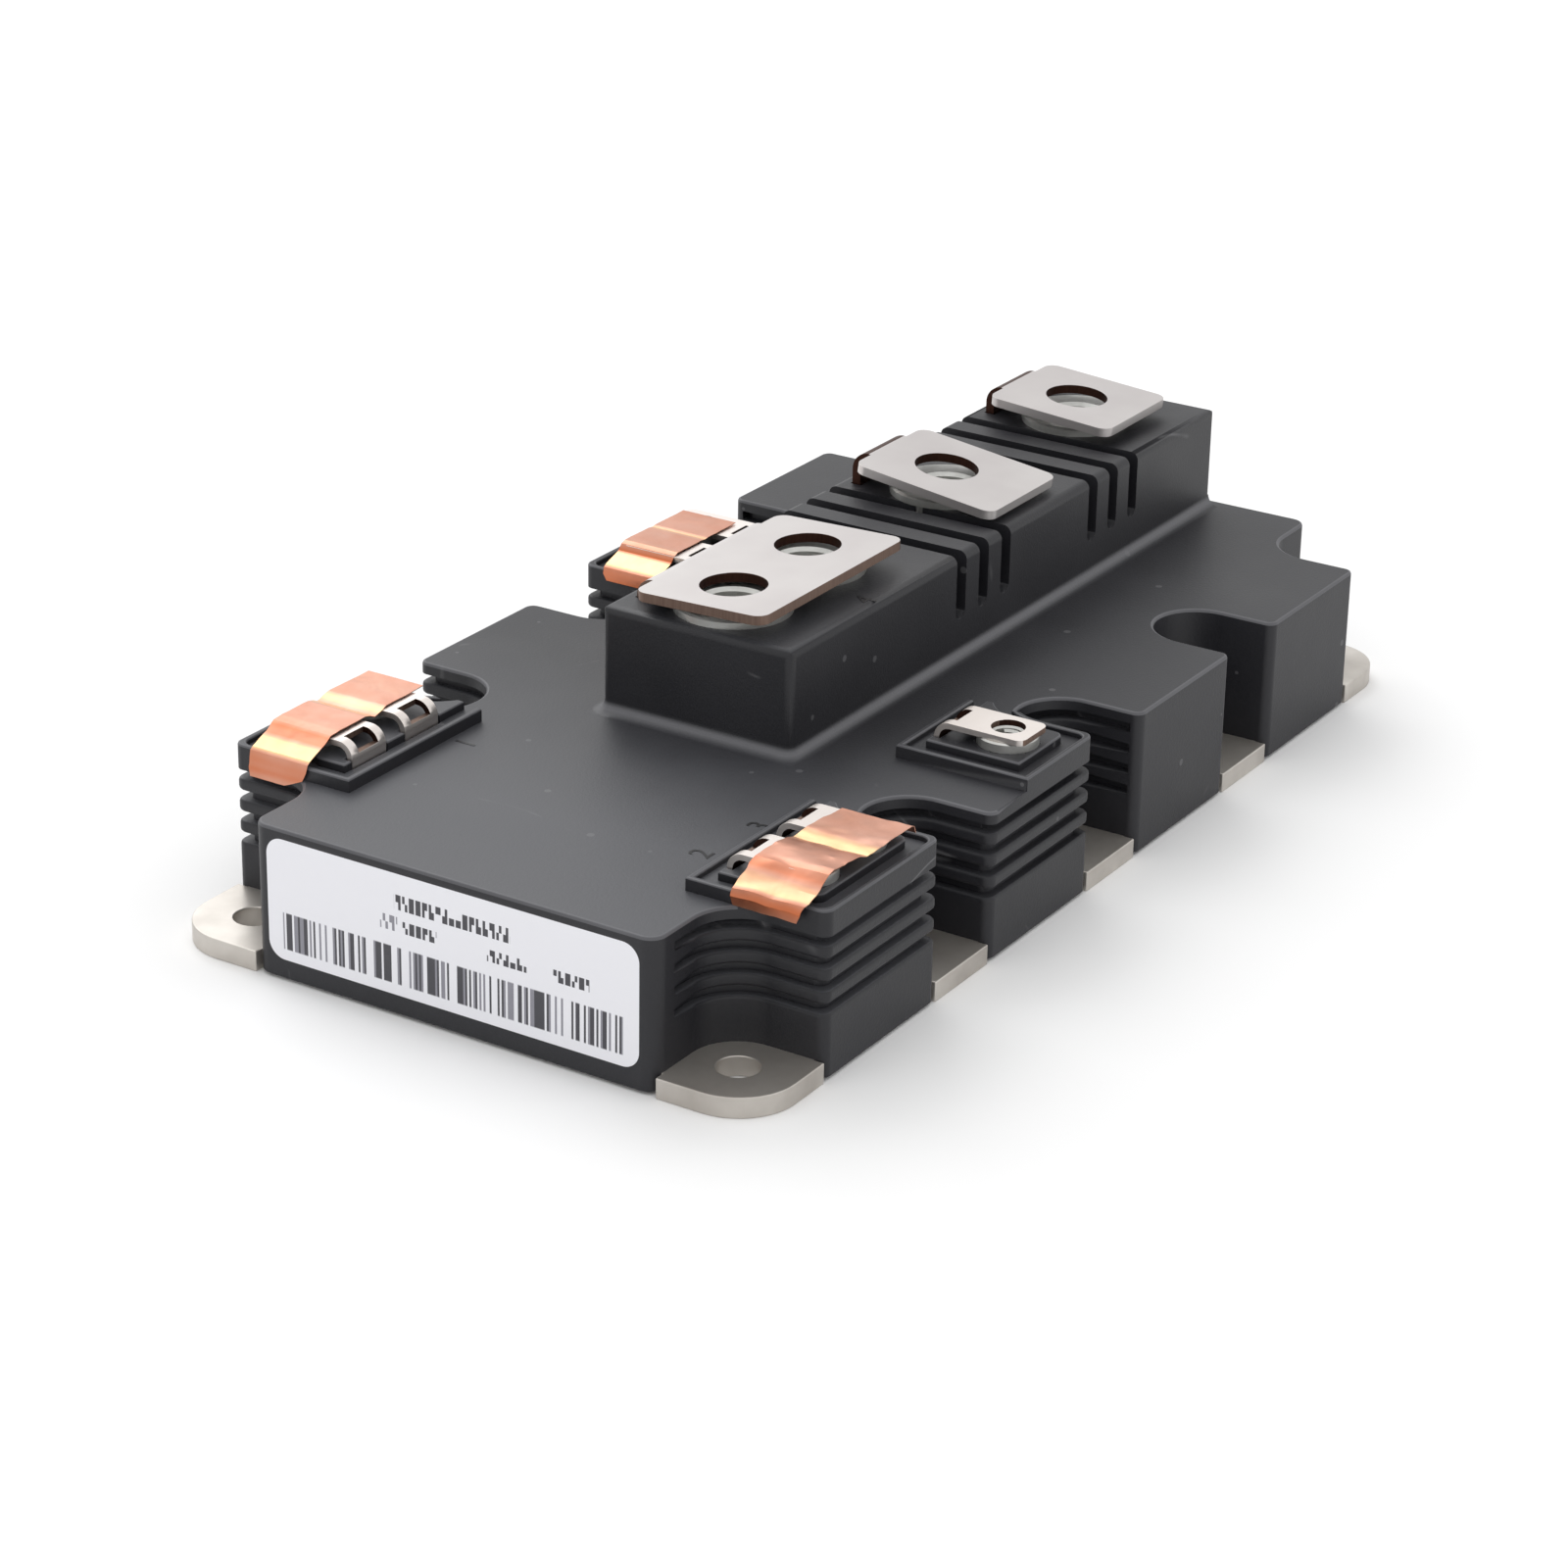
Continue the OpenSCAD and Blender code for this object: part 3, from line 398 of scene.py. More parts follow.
def makeLabelFilm():
    look = labelLook
    material, tree, shader, place = newMaterial(
        "labelFilm", Roughness=look["roughness"], Coat_Weight=look["coat"],
        Coat_Roughness=look["coatRoughness"])
    axes = addNode(tree, "SeparateXYZ", {"Vector": place})
    across, height = axes.outputs["Y"], axes.outputs["Z"]
    dice = stripDice(tree, across, look["barPitch"] * mm)
    bars = doMath(tree, "GREATER_THAN", dice, look["barGaps"])
    faint = doMath(tree, "GREATER_THAN", dice, look["greyFrom"])
    block = doMath(
        tree, "MULTIPLY",
        bandMask(tree, across, -look["barsHalf"] * mm, look["barsHalf"] * mm),
        bandMask(tree, height, look["barsFrom"] * mm, look["barsTo"] * mm))
    ink = mixColour(tree, faint, look["ink"], look["greyInk"])
    colour = mixColour(tree, doMath(tree, "MULTIPLY", bars, block), look["paper"], ink)
    dice = stripDice(tree, across, look["tickPitch"] * mm)
    for middle, level, halfLength, halfHeight, ink in look["marks"]:
        # each tick stands over the whole row, or over its upper or lower half
        top = remap(tree, doMath(tree, "LESS_THAN", dice, look["lowTicks"]), 0.0, 1.0,
                    (level + halfHeight) * mm, level * mm)
        foot = remap(tree, doMath(tree, "GREATER_THAN", dice, look["highTicks"]), 0.0, 1.0,
                     (level - halfHeight) * mm, level * mm)
        tick = doMath(tree, "MULTIPLY", doMath(tree, "LESS_THAN", height, top),
                      doMath(tree, "GREATER_THAN", height, foot))
        step = doMath(tree, "PINGPONG", across, look["tickPitch"] * mm)
        tick = doMath(tree, "MULTIPLY", tick, remap(tree, step, *look["tickGap"]))
        row = bandMask(tree, across, (middle - halfLength) * mm, (middle + halfLength) * mm)
        colour = mixColour(tree, doMath(tree, "MULTIPLY", tick, row), colour, look[ink])
    tree.links.new(colour, shader.inputs["Base Color"])
    grain = useGroup(tree, grainGroup, {"Vector": place, "Grain": look["grain"],
                                        "Patch": look["patch"]})
    addBump(tree, shader, grain.outputs["Tone"], look["grainDepth"])
    return material


def grained(first, second, rough, grain=1800.0, patch=110.0, depth=0.006, relief="Height",
            **sockets):
    # a look of two tones; the relief's depth is in millimetres
    return {"first": tint(*first), "second": tint(*second), "rough": rough, "grain": grain,
            "patch": patch, "depth": depth * mm, "relief": relief, "sockets": sockets}


grainedLooks = {
    "nickelBase": grained((214, 209, 202), (178, 172, 165), (0.34, 0.46), 1500.0, 70.0,
                          Metallic=0.75),
    "nutSteel": grained((216, 216, 212), (184, 184, 180), (0.3, 0.4), 1100.0, 240.0, 0.005,
                        Metallic=0.85),
    "ceramicWhite": grained((236, 232, 222), (224, 219, 207), (0.55, 0.65), Metallic=0.0),
    "rolledCopper": grained((214, 138, 104), (188, 112, 80), (0.34, 0.44), Metallic=1.0),
    "siliconTop": grained((150, 154, 162), (126, 130, 138), (0.28, 0.38), Metallic=1.0),
    "wireAluminium": grained((222, 222, 224), (200, 200, 204), (0.3, 0.4), Metallic=1.0),
    "thermistorGlaze": grained((82, 108, 88), (66, 90, 72), (0.25, 0.35), Metallic=0.0),
    "clearGel": grained((240, 238, 228), (228, 225, 212), (0.05, 0.12), 300.0, 30.0, 0.05,
                        "Tone", Transmission_Weight=0.85, IOR=1.41, Metallic=0.0),
}


def makeGrained(name):
    look = grainedLooks[name]
    material, tree, shader, place = newMaterial(name, **look["sockets"])
    grain = useGroup(tree, grainGroup, {"Vector": place, "Grain": look["grain"],
                                        "Patch": look["patch"]})
    colour = mixColour(tree, grain.outputs["Tone"], look["first"], look["second"])
    rough = remap(tree, grain.outputs["Tone"], 0.0, 1.0, *look["rough"])
    finishShader(tree, shader, colour, rough, grain.outputs[look["relief"]], look["depth"])
    return material


numeralLook = {
    # the numerals are darker than the housing: painted shade for the moulded strokes
    "colour": tint(14, 14, 16), "paleColour": tint(24, 24, 26), "grain": 2600.0,
    "patch": 300.0, "roughLow": 0.3, "roughHigh": 0.45,
}


def makeShadedNumeralPlastic():
    look = numeralLook
    material, tree, shader, place = newMaterial("numeralPlastic")
    grain = useGroup(tree, grainGroup, {"Vector": place, "Grain": look["grain"],
                                        "Patch": look["patch"]})
    tree.links.new(mixColour(tree, grain.outputs["Tone"], look["colour"], look["paleColour"]),
                   shader.inputs["Base Color"])
    tree.links.new(remap(tree, grain.outputs["Height"], 0.2, 0.8, look["roughLow"],
                         look["roughHigh"]), shader.inputs["Roughness"])
    return material


materials = {
    "housing": makeHousingPlastic("housingPlastic"),
    # the housing with a painted highlight on its edge roundings
    "housingHighlightEdge": makeHousingPlastic("housingHighlightEdge", 0.8),
    "numeral": makeShadedNumeralPlastic(),
    "nickelSheet": makeNickelSheet("nickelSheet"),
    "nickelStrip": makeNickelSheet("nickelStrip"),
    "shearedCopper": makeShearedCopper("shearedCopper"),
    "brownCopper": makeShearedCopper("brownCopper"),
    "foil": makeCopperFoil(),
    "label": makeLabelFilm(),
}
for name in grainedLooks:
    materials[name] = makeGrained(name)
print("materials made:", len(materials))


# ---- dressing the carried-over nodes ----

nodeMaterials = {
    "label": "label", "ceramic": "ceramicWhite", "backing": "rolledCopper",
    "tracks": "rolledCopper", "transistors": "siliconTop", "diodes": "siliconTop",
    "bond_wires": "wireAluminium", "track_links": "rolledCopper",
    "thermistor": "thermistorGlaze", "silicone_gel": "clearGel", "housing": "housing",
    "base_plate": "nickelBase", "output": "nickelSheet", "positive": "nickelSheet",
    "negative": "nickelSheet", "control_terminal": "nickelStrip", "control_nuts": "nutSteel",
    "main_nuts": "nutSteel", "shorting_foil": "foil",
}


def dressNodes():
    for nodeName, piece in nodes.items():
        start = max((key for key in nodeMaterials if nodeName.startswith(key)), key=len)
        piece.data.materials.clear()
        piece.data.materials.append(materials[nodeMaterials[start]])


dressNodes()
print("nodes dressed")


# ---- bevelled copies ----

edgeLook = {
    "mergeGap": 0.002 * mm, "flatAngle": 0.6, "sharpAngle": 35.0, "smoothAngle": 40.0,
    "normalWeight": 60, "level": 0.03 * mm,
    "frameRib": 0.45 * mm, "ribsFrom": 5 * mm, "ribsBelowTop": 0.3 * mm, "endGap": 0.5 * mm,
    "lidTop": 0.4 * mm, "trayRim": 0.25 * mm, "base": 0.35 * mm,
    # the lid's levels, each above the one before: shoulder, tray rim and pad
    "lidPlate": 1.65 * mm, "rimRise": 1.8 * mm, "padRise": 0.4 * mm,
    "roundedLow": 0.2, "roundedHigh": 0.97,
}


def newPiece(name, bm, material, replaced):
    mesh = bpy.data.meshes.new(name)
    bm.to_mesh(mesh)
    bm.free()
    piece = bpy.data.objects.new(name, mesh)
    bpy.context.scene.collection.objects.link(piece)
    for each in material if isinstance(material, (list, tuple)) else [material]:
        mesh.materials.append(each)
    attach(piece, "root")
    if replaced:
        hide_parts(*replaced)
    return piece


def cleanCopy(nodeName):
    # a merged copy of a node, its flat stretches joined into whole faces
    bm = bmesh.new()
    bm.from_mesh(nodes[nodeName].data)
    bmesh.ops.remove_doubles(bm, verts=bm.verts, dist=edgeLook["mergeGap"])
    bmesh.ops.dissolve_limit(bm, angle_limit=math.radians(edgeLook["flatAngle"]),
                             verts=bm.verts, edges=bm.edges, use_dissolve_boundaries=False)
    return bm


def sharpEdges(bm, angle=edgeLook["sharpAngle"], test=None):
    limit = math.radians(angle)
    return [edge for edge in bm.edges
            if edge.is_manifold and edge.calc_face_angle_signed(0.0) > limit
            and (test is None or test(edge))]


def bevelEdges(bm, edges, width, segments=2, clamp=True):
    bmesh.ops.bevel(bm, geom=edges, offset=width, offset_type="OFFSET", segments=segments,
                    profile=0.5, affect="EDGES", clamp_overlap=clamp, material=-1,
                    loop_slide=True)


def smoothPiece(piece, angle=edgeLook["smoothAngle"]):
    piece.data.shade_smooth()
    piece.data.set_sharp_from_angle(angle=math.radians(angle))
    finish = piece.modifiers.new("flatFaces", "WEIGHTED_NORMAL")
    finish.keep_sharp = True
    finish.weight = edgeLook["normalWeight"]


def atLevel(edge, height):
    return all(abs(vert.co.z - height) < edgeLook["level"] for vert in edge.verts)


def isLevel(edge):
    return abs(edge.verts[0].co.z - edge.verts[1].co.z) < edgeLook["level"]


def makeFrameCopy():
    # the lips of the grooves are rounded, so the ribs have soft noses
    bm = cleanCopy("housing_frame")
    low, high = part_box("housing_frame")

    def ribLip(edge):
        height = edge.verts[0].co.z
        return (isLevel(edge)
                and low[2] + edgeLook["ribsFrom"] < height < high[2] - edgeLook["ribsBelowTop"]
                and abs(edge.verts[0].co.x) < high[0] - edgeLook["endGap"])

    bevelEdges(bm, sharpEdges(bm, test=ribLip), edgeLook["frameRib"], 3, False)
    smoothPiece(newPiece("frameMoulding", bm, materials["housing"],
                         ["housing_frame"]))


def makeLidCopy():
    bm = cleanCopy("housing_lid")
    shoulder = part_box("housing_frame")[1][2] + edgeLook["lidPlate"]
    rim = shoulder + edgeLook["rimRise"]
    pad = rim + edgeLook["padRise"]
    for height, width in ((shoulder, "lidTop"), (rim, "trayRim"), (pad, "trayRim")):
        edges = sharpEdges(bm, test=lambda edge: atLevel(edge, height))
        bevelEdges(bm, edges, edgeLook[width], 2, False)
        for face in bm.faces:
            # the faces of the new roundings, which take the painted edge highlight
            place = face.calc_center_median().z
            rounded = edgeLook["roundedLow"] < face.normal.z < edgeLook["roundedHigh"]
            if rounded and height - edgeLook[width] < place < height:
                face.material_index = 1
    smoothPiece(newPiece("lidMoulding", bm, [materials["housing"], materials["housingHighlightEdge"]],
                         ["housing_lid"]))


makeFrameCopy()
makeLidCopy()


def makeBaseCopy():
    bm = cleanCopy("base_plate")
    bevelEdges(bm, sharpEdges(bm), edgeLook["base"])
    piece = newPiece("basePlate", bm, materials["nickelBase"], ["base_plate"])
    smoothPiece(piece)


makeBaseCopy()
print("mouldings and base plate made")


# ---- terminals: nickel faces, and bare copper where the sheet was sheared ----

terminalShape = {
    "edge": 0.1 * mm, "mainFold": 2.6 * mm, "mainLevel": 30 * mm,
    "controlFold": 10.7 * mm, "controlLeg": 12.0 * mm, "holeBorder": 2.5 * mm,
    "sharpAngle": 50.0, "windowShare": 0.4,
    "main": {"output_terminal": "outputTerminal", "positive_terminal": "positiveTerminal",
             "negative_terminal": "negativeTerminal"},
    "control": 7,
}


def makeTerminal(nodeName, pieceName, finish, nickel="nickelSheet"):
    # finish gives a face's material: 0 nickel, 1 sheared copper, 2 brown copper
    bm = cleanCopy(nodeName)
    bevelEdges(bm, sharpEdges(bm, terminalShape["sharpAngle"]), terminalShape["edge"], 1)
    for face in bm.faces:
        face.material_index = finish(face, face.calc_center_median())
    piece = newPiece(pieceName, bm, [materials[nickel], materials["shearedCopper"],
                                     materials["brownCopper"]], [nodeName])
    smoothPiece(piece)


def makeMainTerminal(nodeName, pieceName):
    low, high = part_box(nodeName)
    fold = high[1] - terminalShape["mainFold"]
    supply = nodeName != "output_terminal"

    def finish(face, place):
        onPlate = place.z > terminalShape["mainLevel"] and place.y < fold
        if onPlate and abs(face.normal.z) < 0.5:
            inHole = min(place.x - low[0], high[0] - place.x, place.y - low[1]) \
                > terminalShape["holeBorder"]
            return 2 if inHole else (0 if supply else 1)
        if supply and not onPlate:
            return 2    # the supply terminals' folds and legs are bare brown copper
        return 0 if supply or abs(face.normal.x) < 0.5 else 1

    makeTerminal(nodeName, pieceName, finish)


def makeControlTerminal(number):
    nodeName = "control_terminal_%d" % number
    low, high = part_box(nodeName)
    tip = max(abs(low[1]), abs(high[1]))
    side = 1 if high[1] > -low[1] else -1
    window = terminalShape["windowShare"] * (high[0] - low[0])

    def finish(face, place):
        across = abs(place.y)
        if face.normal.z < -0.3 or (across < tip - terminalShape["controlFold"]
                                    and face.normal.y * side > 0.3):
            return 2    # the inside of the bend
        if abs(face.normal.x) > 0.5:
            # the window's cheeks are brown, the strip's own sides are plated
            return 2 if abs(place.x - (low[0] + high[0]) / 2) < window else 0
        if across > tip - terminalShape["controlFold"]:
            return 1 if abs(face.normal.z) < 0.5 else 0
        return 1 if across < tip - terminalShape["controlLeg"] and face.normal.z > 0.9 else 0

    makeTerminal(nodeName, "controlTerminal%d" % number, finish, "nickelStrip")


for nodeName, pieceName in terminalShape["main"].items():
    makeMainTerminal(nodeName, pieceName)
for number in range(1, terminalShape["control"] + 1):
    makeControlTerminal(number)
print("terminals made")


# ---- nuts with a collar, a hexagon and a thread ----

nutShapes = {
    "mainNuts": {"node": "main_nuts", "acrossFlats": 13.0, "hexHeight": 5.8, "root": 4.0,
                 "crest": 3.4, "pitch": 1.25, "chamfer": 0.5, "rim": 0.3},
    "controlNuts": {"node": "control_nuts", "acrossFlats": 7.0, "hexHeight": 2.8,
                    "root": 2.0, "crest": 1.65, "pitch": 0.7, "chamfer": 0.25, "rim": 0.2},
}
nutSteps = 48
threadTooth = {"crestAt": 0.45, "endAt": 0.9, "buried": 0.05 * mm}
nutSharpAngle = 30.0


def islandBoxes(nodeName):
    # the lowest and highest corner of each separate solid of a node
    bm = bmesh.new()
    bm.from_mesh(nodes[nodeName].data)
    bmesh.ops.remove_doubles(bm, verts=bm.verts, dist=edgeLook["mergeGap"])
    waiting, boxes = set(bm.verts), []
    while waiting:
        front, reached = [waiting.pop()], []
        while front:
            vert = front.pop()
            reached.append(vert.co)
            for edge in vert.link_edges:
                other = edge.other_vert(vert)
                if other in waiting:
                    waiting.remove(other)
                    front.append(other)
        boxes.append((Vector([min(place[axis] for place in reached) for axis in range(3)]),
                      Vector([max(place[axis] for place in reached) for axis in range(3)])))
    bm.free()
    return sorted(boxes, key=lambda box: tuple(box[0]))


def spinRound(bm, start, centre, steps, turns=1.0, rise=0.0):
    bmesh.ops.spin(bm, geom=start, cent=centre, axis=(0, 0, 1), dvec=(0, 0, rise),
                   angle=2 * math.pi * turns, steps=steps, use_merge=rise == 0.0)


def addNut(bm, shape, low, high):
    size = {key: value * mm for key, value in shape.items() if key != "node"}
    centre = (low + high) / 2
    collar = (high.x - low.x) / 2
    collarFoot = low.z + size["hexHeight"]
    flat, root, cut, rim = size["acrossFlats"] / 2, size["root"], size["chamfer"], size["rim"]
    section = [(root + cut, low.z), (root, low.z + cut), (root, high.z - cut),
               (root + cut, high.z), (collar - rim, high.z), (collar, high.z - rim),
               (collar, collarFoot), (flat, collarFoot), (flat, low.z)]
    count = len(bm.verts)
    verts = [bm.verts.new((centre.x + radius, centre.y, height)) for radius, height in section]
    edges = [bm.edges.new(pair) for pair in zip(verts, verts[1:] + verts[:1])]
    spinRound(bm, verts + edges, centre, nutSteps)
    bm.verts.ensure_lookup_table()
    for vert in bm.verts[count:]:
        arm = vert.co - centre
        if abs(arm.to_2d().length - flat) < 0.01 * mm:
            # the round is drawn out to a hexagon
            turn = math.atan2(arm.y, arm.x) % (math.pi / 3) - math.pi / 6
            vert.co.x = centre.x + arm.x / math.cos(turn)
            vert.co.y = centre.y + arm.y / math.cos(turn)
    # one tooth of the thread, spun upwards
    pitch = size["pitch"]
    foot = low.z + cut
    buried = root + threadTooth["buried"]
    tooth = [bm.verts.new((centre.x + radius, centre.y, foot + height))
             for radius, height in ((buried, 0.0),
                                    (size["crest"], threadTooth["crestAt"] * pitch),
                                    (buried, threadTooth["endAt"] * pitch))]
    face = bm.faces.new(tooth)
    turns = (high.z - low.z - 2 * cut - pitch) / pitch
    steps = round(turns * nutSteps / 2)
    spinRound(bm, tooth + list(face.edges) + [face], centre, steps,
              2 * steps / nutSteps, 2 * pitch / nutSteps)


for pieceName, shape in nutShapes.items():
    bm = bmesh.new()
    for low, high in islandBoxes(shape["node"]):
        addNut(bm, shape, low, high)
    bmesh.ops.recalc_face_normals(bm, faces=bm.faces)
    smoothPiece(newPiece(pieceName, bm, materials["nutSteel"], [shape["node"]]),
                nutSharpAngle)
print("nuts made")


# ---- creased shorting foils ----

# Each row of stations: distance from the node's near face, drop below its top, how far
# the inner and outer edges stand out beyond the node's, and the fold's painted light tone.
foilShapes = {
    "leftFoil": {
        "node": "shorting_foil_1", "crumple": 0.05, "wave": 0.12, "seed": 3.0,
        "stations": [
            (25.1, 0.12, 0.0, -0.1, 0.0), (17.0, 0.12, 0.1, 0.0, 0.1),
            (15.8, 0.35, 0.3, 0.0, -0.7), (14.4, 0.75, 0.3, 0.0, 0.25),
            (13.4, 0.3, 0.3, -0.1, -0.75), (12.4, 0.05, 0.3, -0.1, 0.1),
            (7.0, 0.0, 0.4, -0.2, 0.1), (5.2, 0.1, 0.5, -0.3, 0.05),
            (4.7, 0.35, 0.5, -0.3, 0.55), (3.4, 1.0, 0.5, -0.4, 0.5),
            (2.6, 1.35, 0.5, -0.4, -0.6), (0.7, 2.1, 0.5, -0.4, -0.75),
            (0.25, 2.4, 0.5, -0.4, 0.3), (0.1, 3.4, 0.4, -0.4, 0.4),
            (0.0, 4.6, -0.2, -0.3, 0.55), (0.1, 5.9, -3.2, -0.3, 0.35)],
    },
    "rightFoil": {
        "node": "shorting_foil_3", "crumple": 0.3, "wave": 0.25, "seed": 11.0,
        "stations": [
            (24.6, 1.7, -2.6, 1.6, 0.3), (24.2, 0.8, -1.8, 1.8, 0.2),
            (23.0, 0.2, -1.2, 2.0, 0.0), (18.0, 0.15, -0.6, 2.0, 0.0),
            (16.0, 0.2, -0.4, 1.9, 0.05), (14.6, 0.35, -0.4, 1.8, -0.6),
            (13.2, 0.6, -0.3, 1.6, -0.6), (12.0, 0.2, -0.2, 1.5, 0.3),
            (9.4, -0.1, -0.1, 1.3, 0.1), (6.6, 0.0, 0.0, 1.1, 0.05),
            (5.3, 0.15, 0.1, 1.1, 0.35), (4.2, 0.8, 0.2, 1.1, 0.5),
            (2.6, 1.6, 0.2, 1.1, -0.3), (1.0, 2.2, 0.2, 1.1, -0.45),
            (0.4, 2.5, 0.2, 0.9, 0.4), (0.1, 3.5, 0.3, 0.5, 0.8),
            (0.25, 4.7, 0.0, -0.2, 0.5)],
    },
    "farFoil": {
        "node": "shorting_foil_2", "crumple": 0.02, "wave": 0.1, "seed": 23.0,
        "stations": [
            (20.4, 0.1, 0.0, 0.0, 0.1), (13.2, 0.1, 0.0, 0.0, 0.1),
            (12.4, 0.2, 0.0, 0.0, -0.4), (11.4, 0.1, 0.0, 0.0, 0.05),
            (5.4, 0.05, 0.0, 0.0, 0.0), (4.6, 0.3, 0.0, 0.0, 0.3),
            (3.9, 1.1, 0.0, 0.0, 0.95), (3.3, 1.35, 0.0, 0.0, -0.9),
            (0.8, 2.2, 0.0, 0.0, -1.0), (0.3, 2.5, 0.0, 0.0, 0.5),
            (0.1, 3.4, 0.0, 0.0, 0.7), (0.05, 4.3, -0.6, -0.6, 0.8)],
    },
}
foilSheet = {
    "thickness": 0.1 * mm, "rowsPerStation": 4, "columns": 14, "sharpAngle": 11.0,
    # how fast the crumple and the wobble change along, across and down the sheet
    "crumpleRate": (0.22, 1.6, 0.4), "fineRate": 2.3, "fineShare": 0.5,
    "wobbleRate": (0.5, 0.4, 1.0), "toneShare": 0.25, "hangFrom": 2.5, "hangShare": 0.3,
}


def makeFoil(pieceName, shape):
    low, high = (Vector(corner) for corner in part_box(shape["node"]))
    side = 1 if low.y > 0 else -1
    inner, outer = (low.y, high.y) if side > 0 else (high.y, low.y)
    stations = shape["stations"]
    spans = len(stations) - 1
    bm = bmesh.new()
    bmesh.ops.create_grid(bm, x_segments=spans * foilSheet["rowsPerStation"],
                          y_segments=foilSheet["columns"], size=0.5)
    foldLightLayer = bm.verts.layers.float.new("foldLight")
    for vert in bm.verts:
        along = (vert.co.x + 0.5) * spans
        span = min(int(along), spans - 1)
        part = along - span
        dx, drop, wider, further, tone = (
            first + (second - first) * part
            for first, second in zip(stations[span], stations[span + 1]))
        across = vert.co.y + 0.5
        edgeIn = inner - side * wider * mm
        edgeOut = outer + side * further * mm
        seed = Vector((shape["seed"], shape["seed"] * 2, 0))
        spot = Vector((dx, across, drop))
        place = spot * Vector(foilSheet["crumpleRate"]) + seed
        crumple = abs(noise.noise(place)) \
            + foilSheet["fineShare"] * abs(noise.noise(place * foilSheet["fineRate"]))
        wobble = noise.noise(spot * Vector(foilSheet["wobbleRate"]) + seed)
        sag = shape["wave"] * wobble * mm
        swing = foilSheet["hangShare"] * sag if drop > foilSheet["hangFrom"] else 0.0
        # painted fold light, with a random wobble
        vert[foldLightLayer] = tone + foilSheet["toneShare"] * wobble
        vert.co = Vector((low.x + dx * mm + swing,
                          edgeIn + (edgeOut - edgeIn) * across + sag,
                          high.z - drop * mm + shape["crumple"] * crumple * mm))
    bmesh.ops.recalc_face_normals(bm, faces=bm.faces)
    bmesh.ops.solidify(bm, geom=bm.faces, thickness=foilSheet["thickness"])
    bmesh.ops.recalc_face_normals(bm, faces=bm.faces)
    smoothPiece(newPiece(pieceName, bm, materials["foil"], [shape["node"]]),
                foilSheet["sharpAngle"])


for pieceName, shape in foilShapes.items():
    makeFoil(pieceName, shape)
print("foils made")


# ---- moulded numerals ----

numerals = {
    "height": 3.0 * mm, "capitalShare": 0.7, "raised": 0.05 * mm,
    # numeral, place along and across, and the height above the shoulder
    "places": [("1", -52.6, 21.2, 0.0), ("2", -63.8, -22.4, 0.0), ("3", -53.0, -23.8, 0.0),
               ("4", -12.6, -14.0, 14.8)],
}


def makeNumerals():
    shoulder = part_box("housing_frame")[1][2] + edgeLook["lidPlate"]
    for number, (text, along, across, above) in enumerate(numerals["places"], 1):
        curve = bpy.data.curves.new("numeral", "FONT")
        curve.body = text
        curve.size = numerals["height"] / numerals["capitalShare"]
        curve.extrude = numerals["raised"]
        source = bpy.data.objects.new("numeral", curve)
        mesh = bpy.data.meshes.new_from_object(source)
        bpy.data.objects.remove(source)
        bm = bmesh.new()
        bm.from_mesh(mesh)
        bmesh.ops.translate(bm, verts=bm.verts,
                            vec=(along * mm, across * mm, shoulder + above * mm))
        newPiece("numeral%d" % number, bm, materials["numeral"], [])


makeNumerals()
print("numerals made")


# ---- camera, floor and light ----

cameraView = {
    "azimuth": 31.954, "elevation": 23.730, "distance": 0.58265, "right": -0.005525,
    "up": 0.001701, "roll": 1.060, "lens": 97.535, "sensor": 36.0, "clip": (0.01, 20.0),
}


def makeCamera():
    view = cameraView
    azimuth, elevation = math.radians(view["azimuth"]), math.radians(view["elevation"])
    back = Vector((-math.cos(azimuth) * math.cos(elevation),
                   -math.sin(azimuth) * math.cos(elevation), math.sin(elevation)))
    right = (-back).cross(Vector((0, 0, 1))).normalized()
    up = right.cross(-back)
    turn = math.radians(view["roll"])
    columns = (math.cos(turn) * right + math.sin(turn) * up,
               -math.sin(turn) * right + math.cos(turn) * up, back)
    matrix = Matrix.Identity(4)
    for column, axis in enumerate(columns):
        for row in range(3):
            matrix[row][column] = axis[row]
    data = bpy.data.cameras.new("studioCamera")
    data.lens = view["lens"]
    data.sensor_width = view["sensor"]
    data.clip_start, data.clip_end = view["clip"]
    camera = bpy.data.objects.new("studioCamera", data)
    bpy.context.scene.collection.objects.link(camera)
    matrix.translation = back * view["distance"] + right * view["right"] + up * view["up"]
    camera.matrix_world = matrix
    bpy.context.scene.camera = camera


makeCamera()

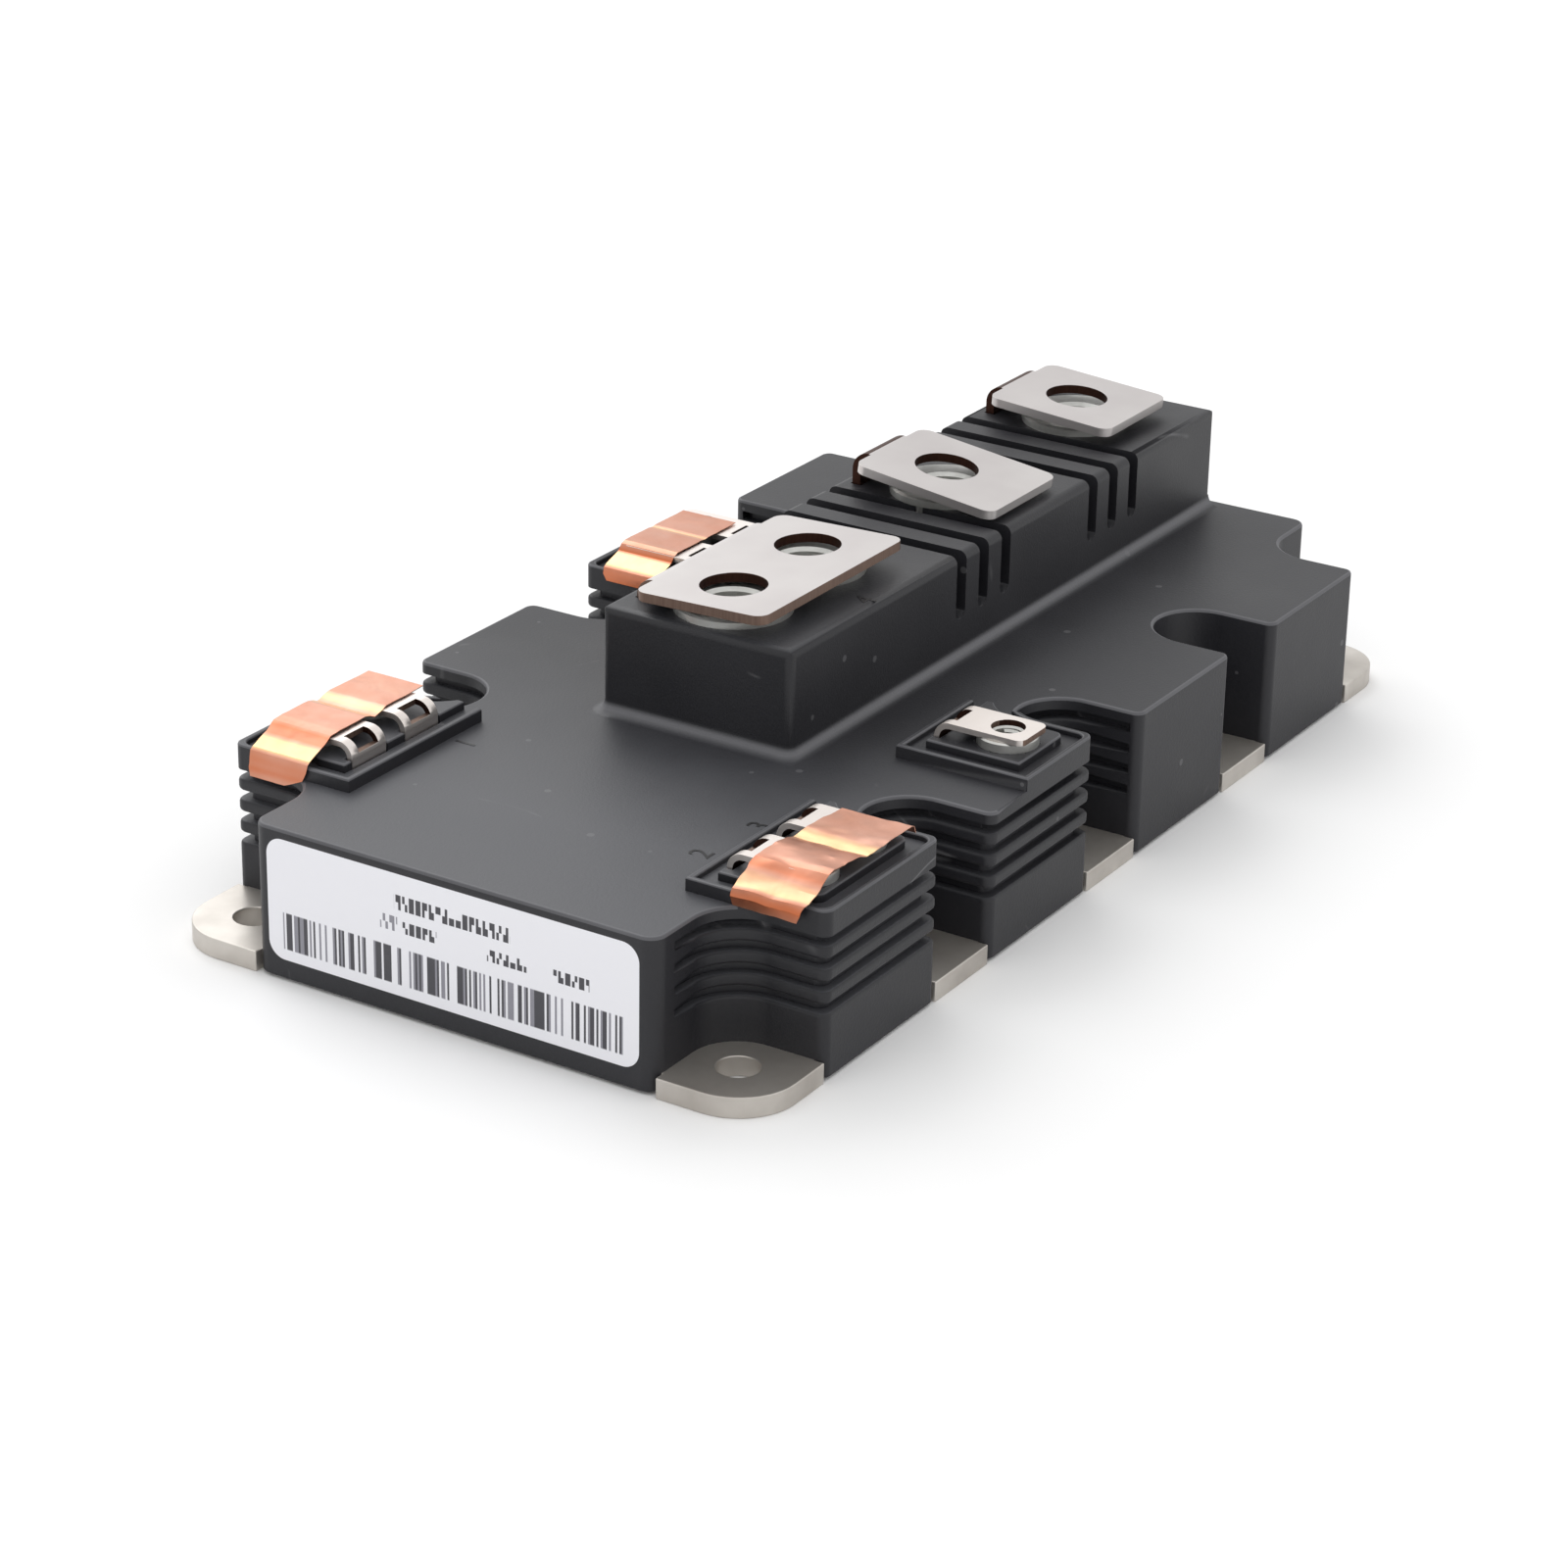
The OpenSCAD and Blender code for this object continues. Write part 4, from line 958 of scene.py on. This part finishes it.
studio = {
    "floorSeen": 0.97, "floorBounce": 0.82, "worldSeen": 1.0, "worldLight": 0.96,
    "keyPower": 7.0, "keySize": 1.1, "keyPlace": (0.5, 1.0, 1.0), "floorHalf": 6.0,
}


def seenDirectly(tree):
    # 1 for rays from the camera, from a reflection or through glass
    path = addNode(tree, "LightPath")
    seen = doMath(tree, "MAXIMUM", path.outputs["Is Camera Ray"], path.outputs["Is Glossy Ray"])
    return doMath(tree, "MAXIMUM", seen, path.outputs["Is Transmission Ray"])


def makeFloor():
    bm = bmesh.new()
    bmesh.ops.create_grid(bm, x_segments=1, y_segments=1, size=studio["floorHalf"])
    mesh = bpy.data.meshes.new("studioFloor")
    bm.to_mesh(mesh)
    bm.free()
    floor = bpy.data.objects.new("studioFloor", mesh)
    bpy.context.scene.collection.objects.link(floor)
    material, tree, shader, _ = newMaterial("studioFloor", Roughness=1.0,
                                            Specular_IOR_Level=0.0)
    seen, bounce = studio["floorSeen"], studio["floorBounce"]
    tree.links.new(mixColour(tree, seenDirectly(tree), (bounce, bounce, bounce, 1.0),
                             (seen, seen, seen, 1.0)), shader.inputs["Base Color"])
    mesh.materials.append(material)


def makeWorld():
    world = bpy.data.worlds.new("studioWorld")
    world.use_nodes = True
    tree = world.node_tree
    sky = tree.nodes["Background"]
    sky.inputs["Color"].default_value = (1.0, 1.0, 1.0, 1.0)
    tree.links.new(remap(tree, seenDirectly(tree), 0.0, 1.0, studio["worldLight"],
                         studio["worldSeen"]), sky.inputs["Strength"])
    bpy.context.scene.world = world


def makeKeyLight():
    light = bpy.data.lights.new("keyLight", "AREA")
    light.size = studio["keySize"]
    light.energy = studio["keyPower"]
    lamp = bpy.data.objects.new("keyLight", light)
    bpy.context.scene.collection.objects.link(lamp)
    place = Vector(studio["keyPlace"])
    lamp.location = place
    lamp.rotation_mode = "QUATERNION"
    lamp.rotation_quaternion = place.to_track_quat("Z", "Y")


makeFloor()
makeWorld()
makeKeyLight()
bpy.context.scene.view_settings.view_transform = "Standard"
print("camera and studio ready")
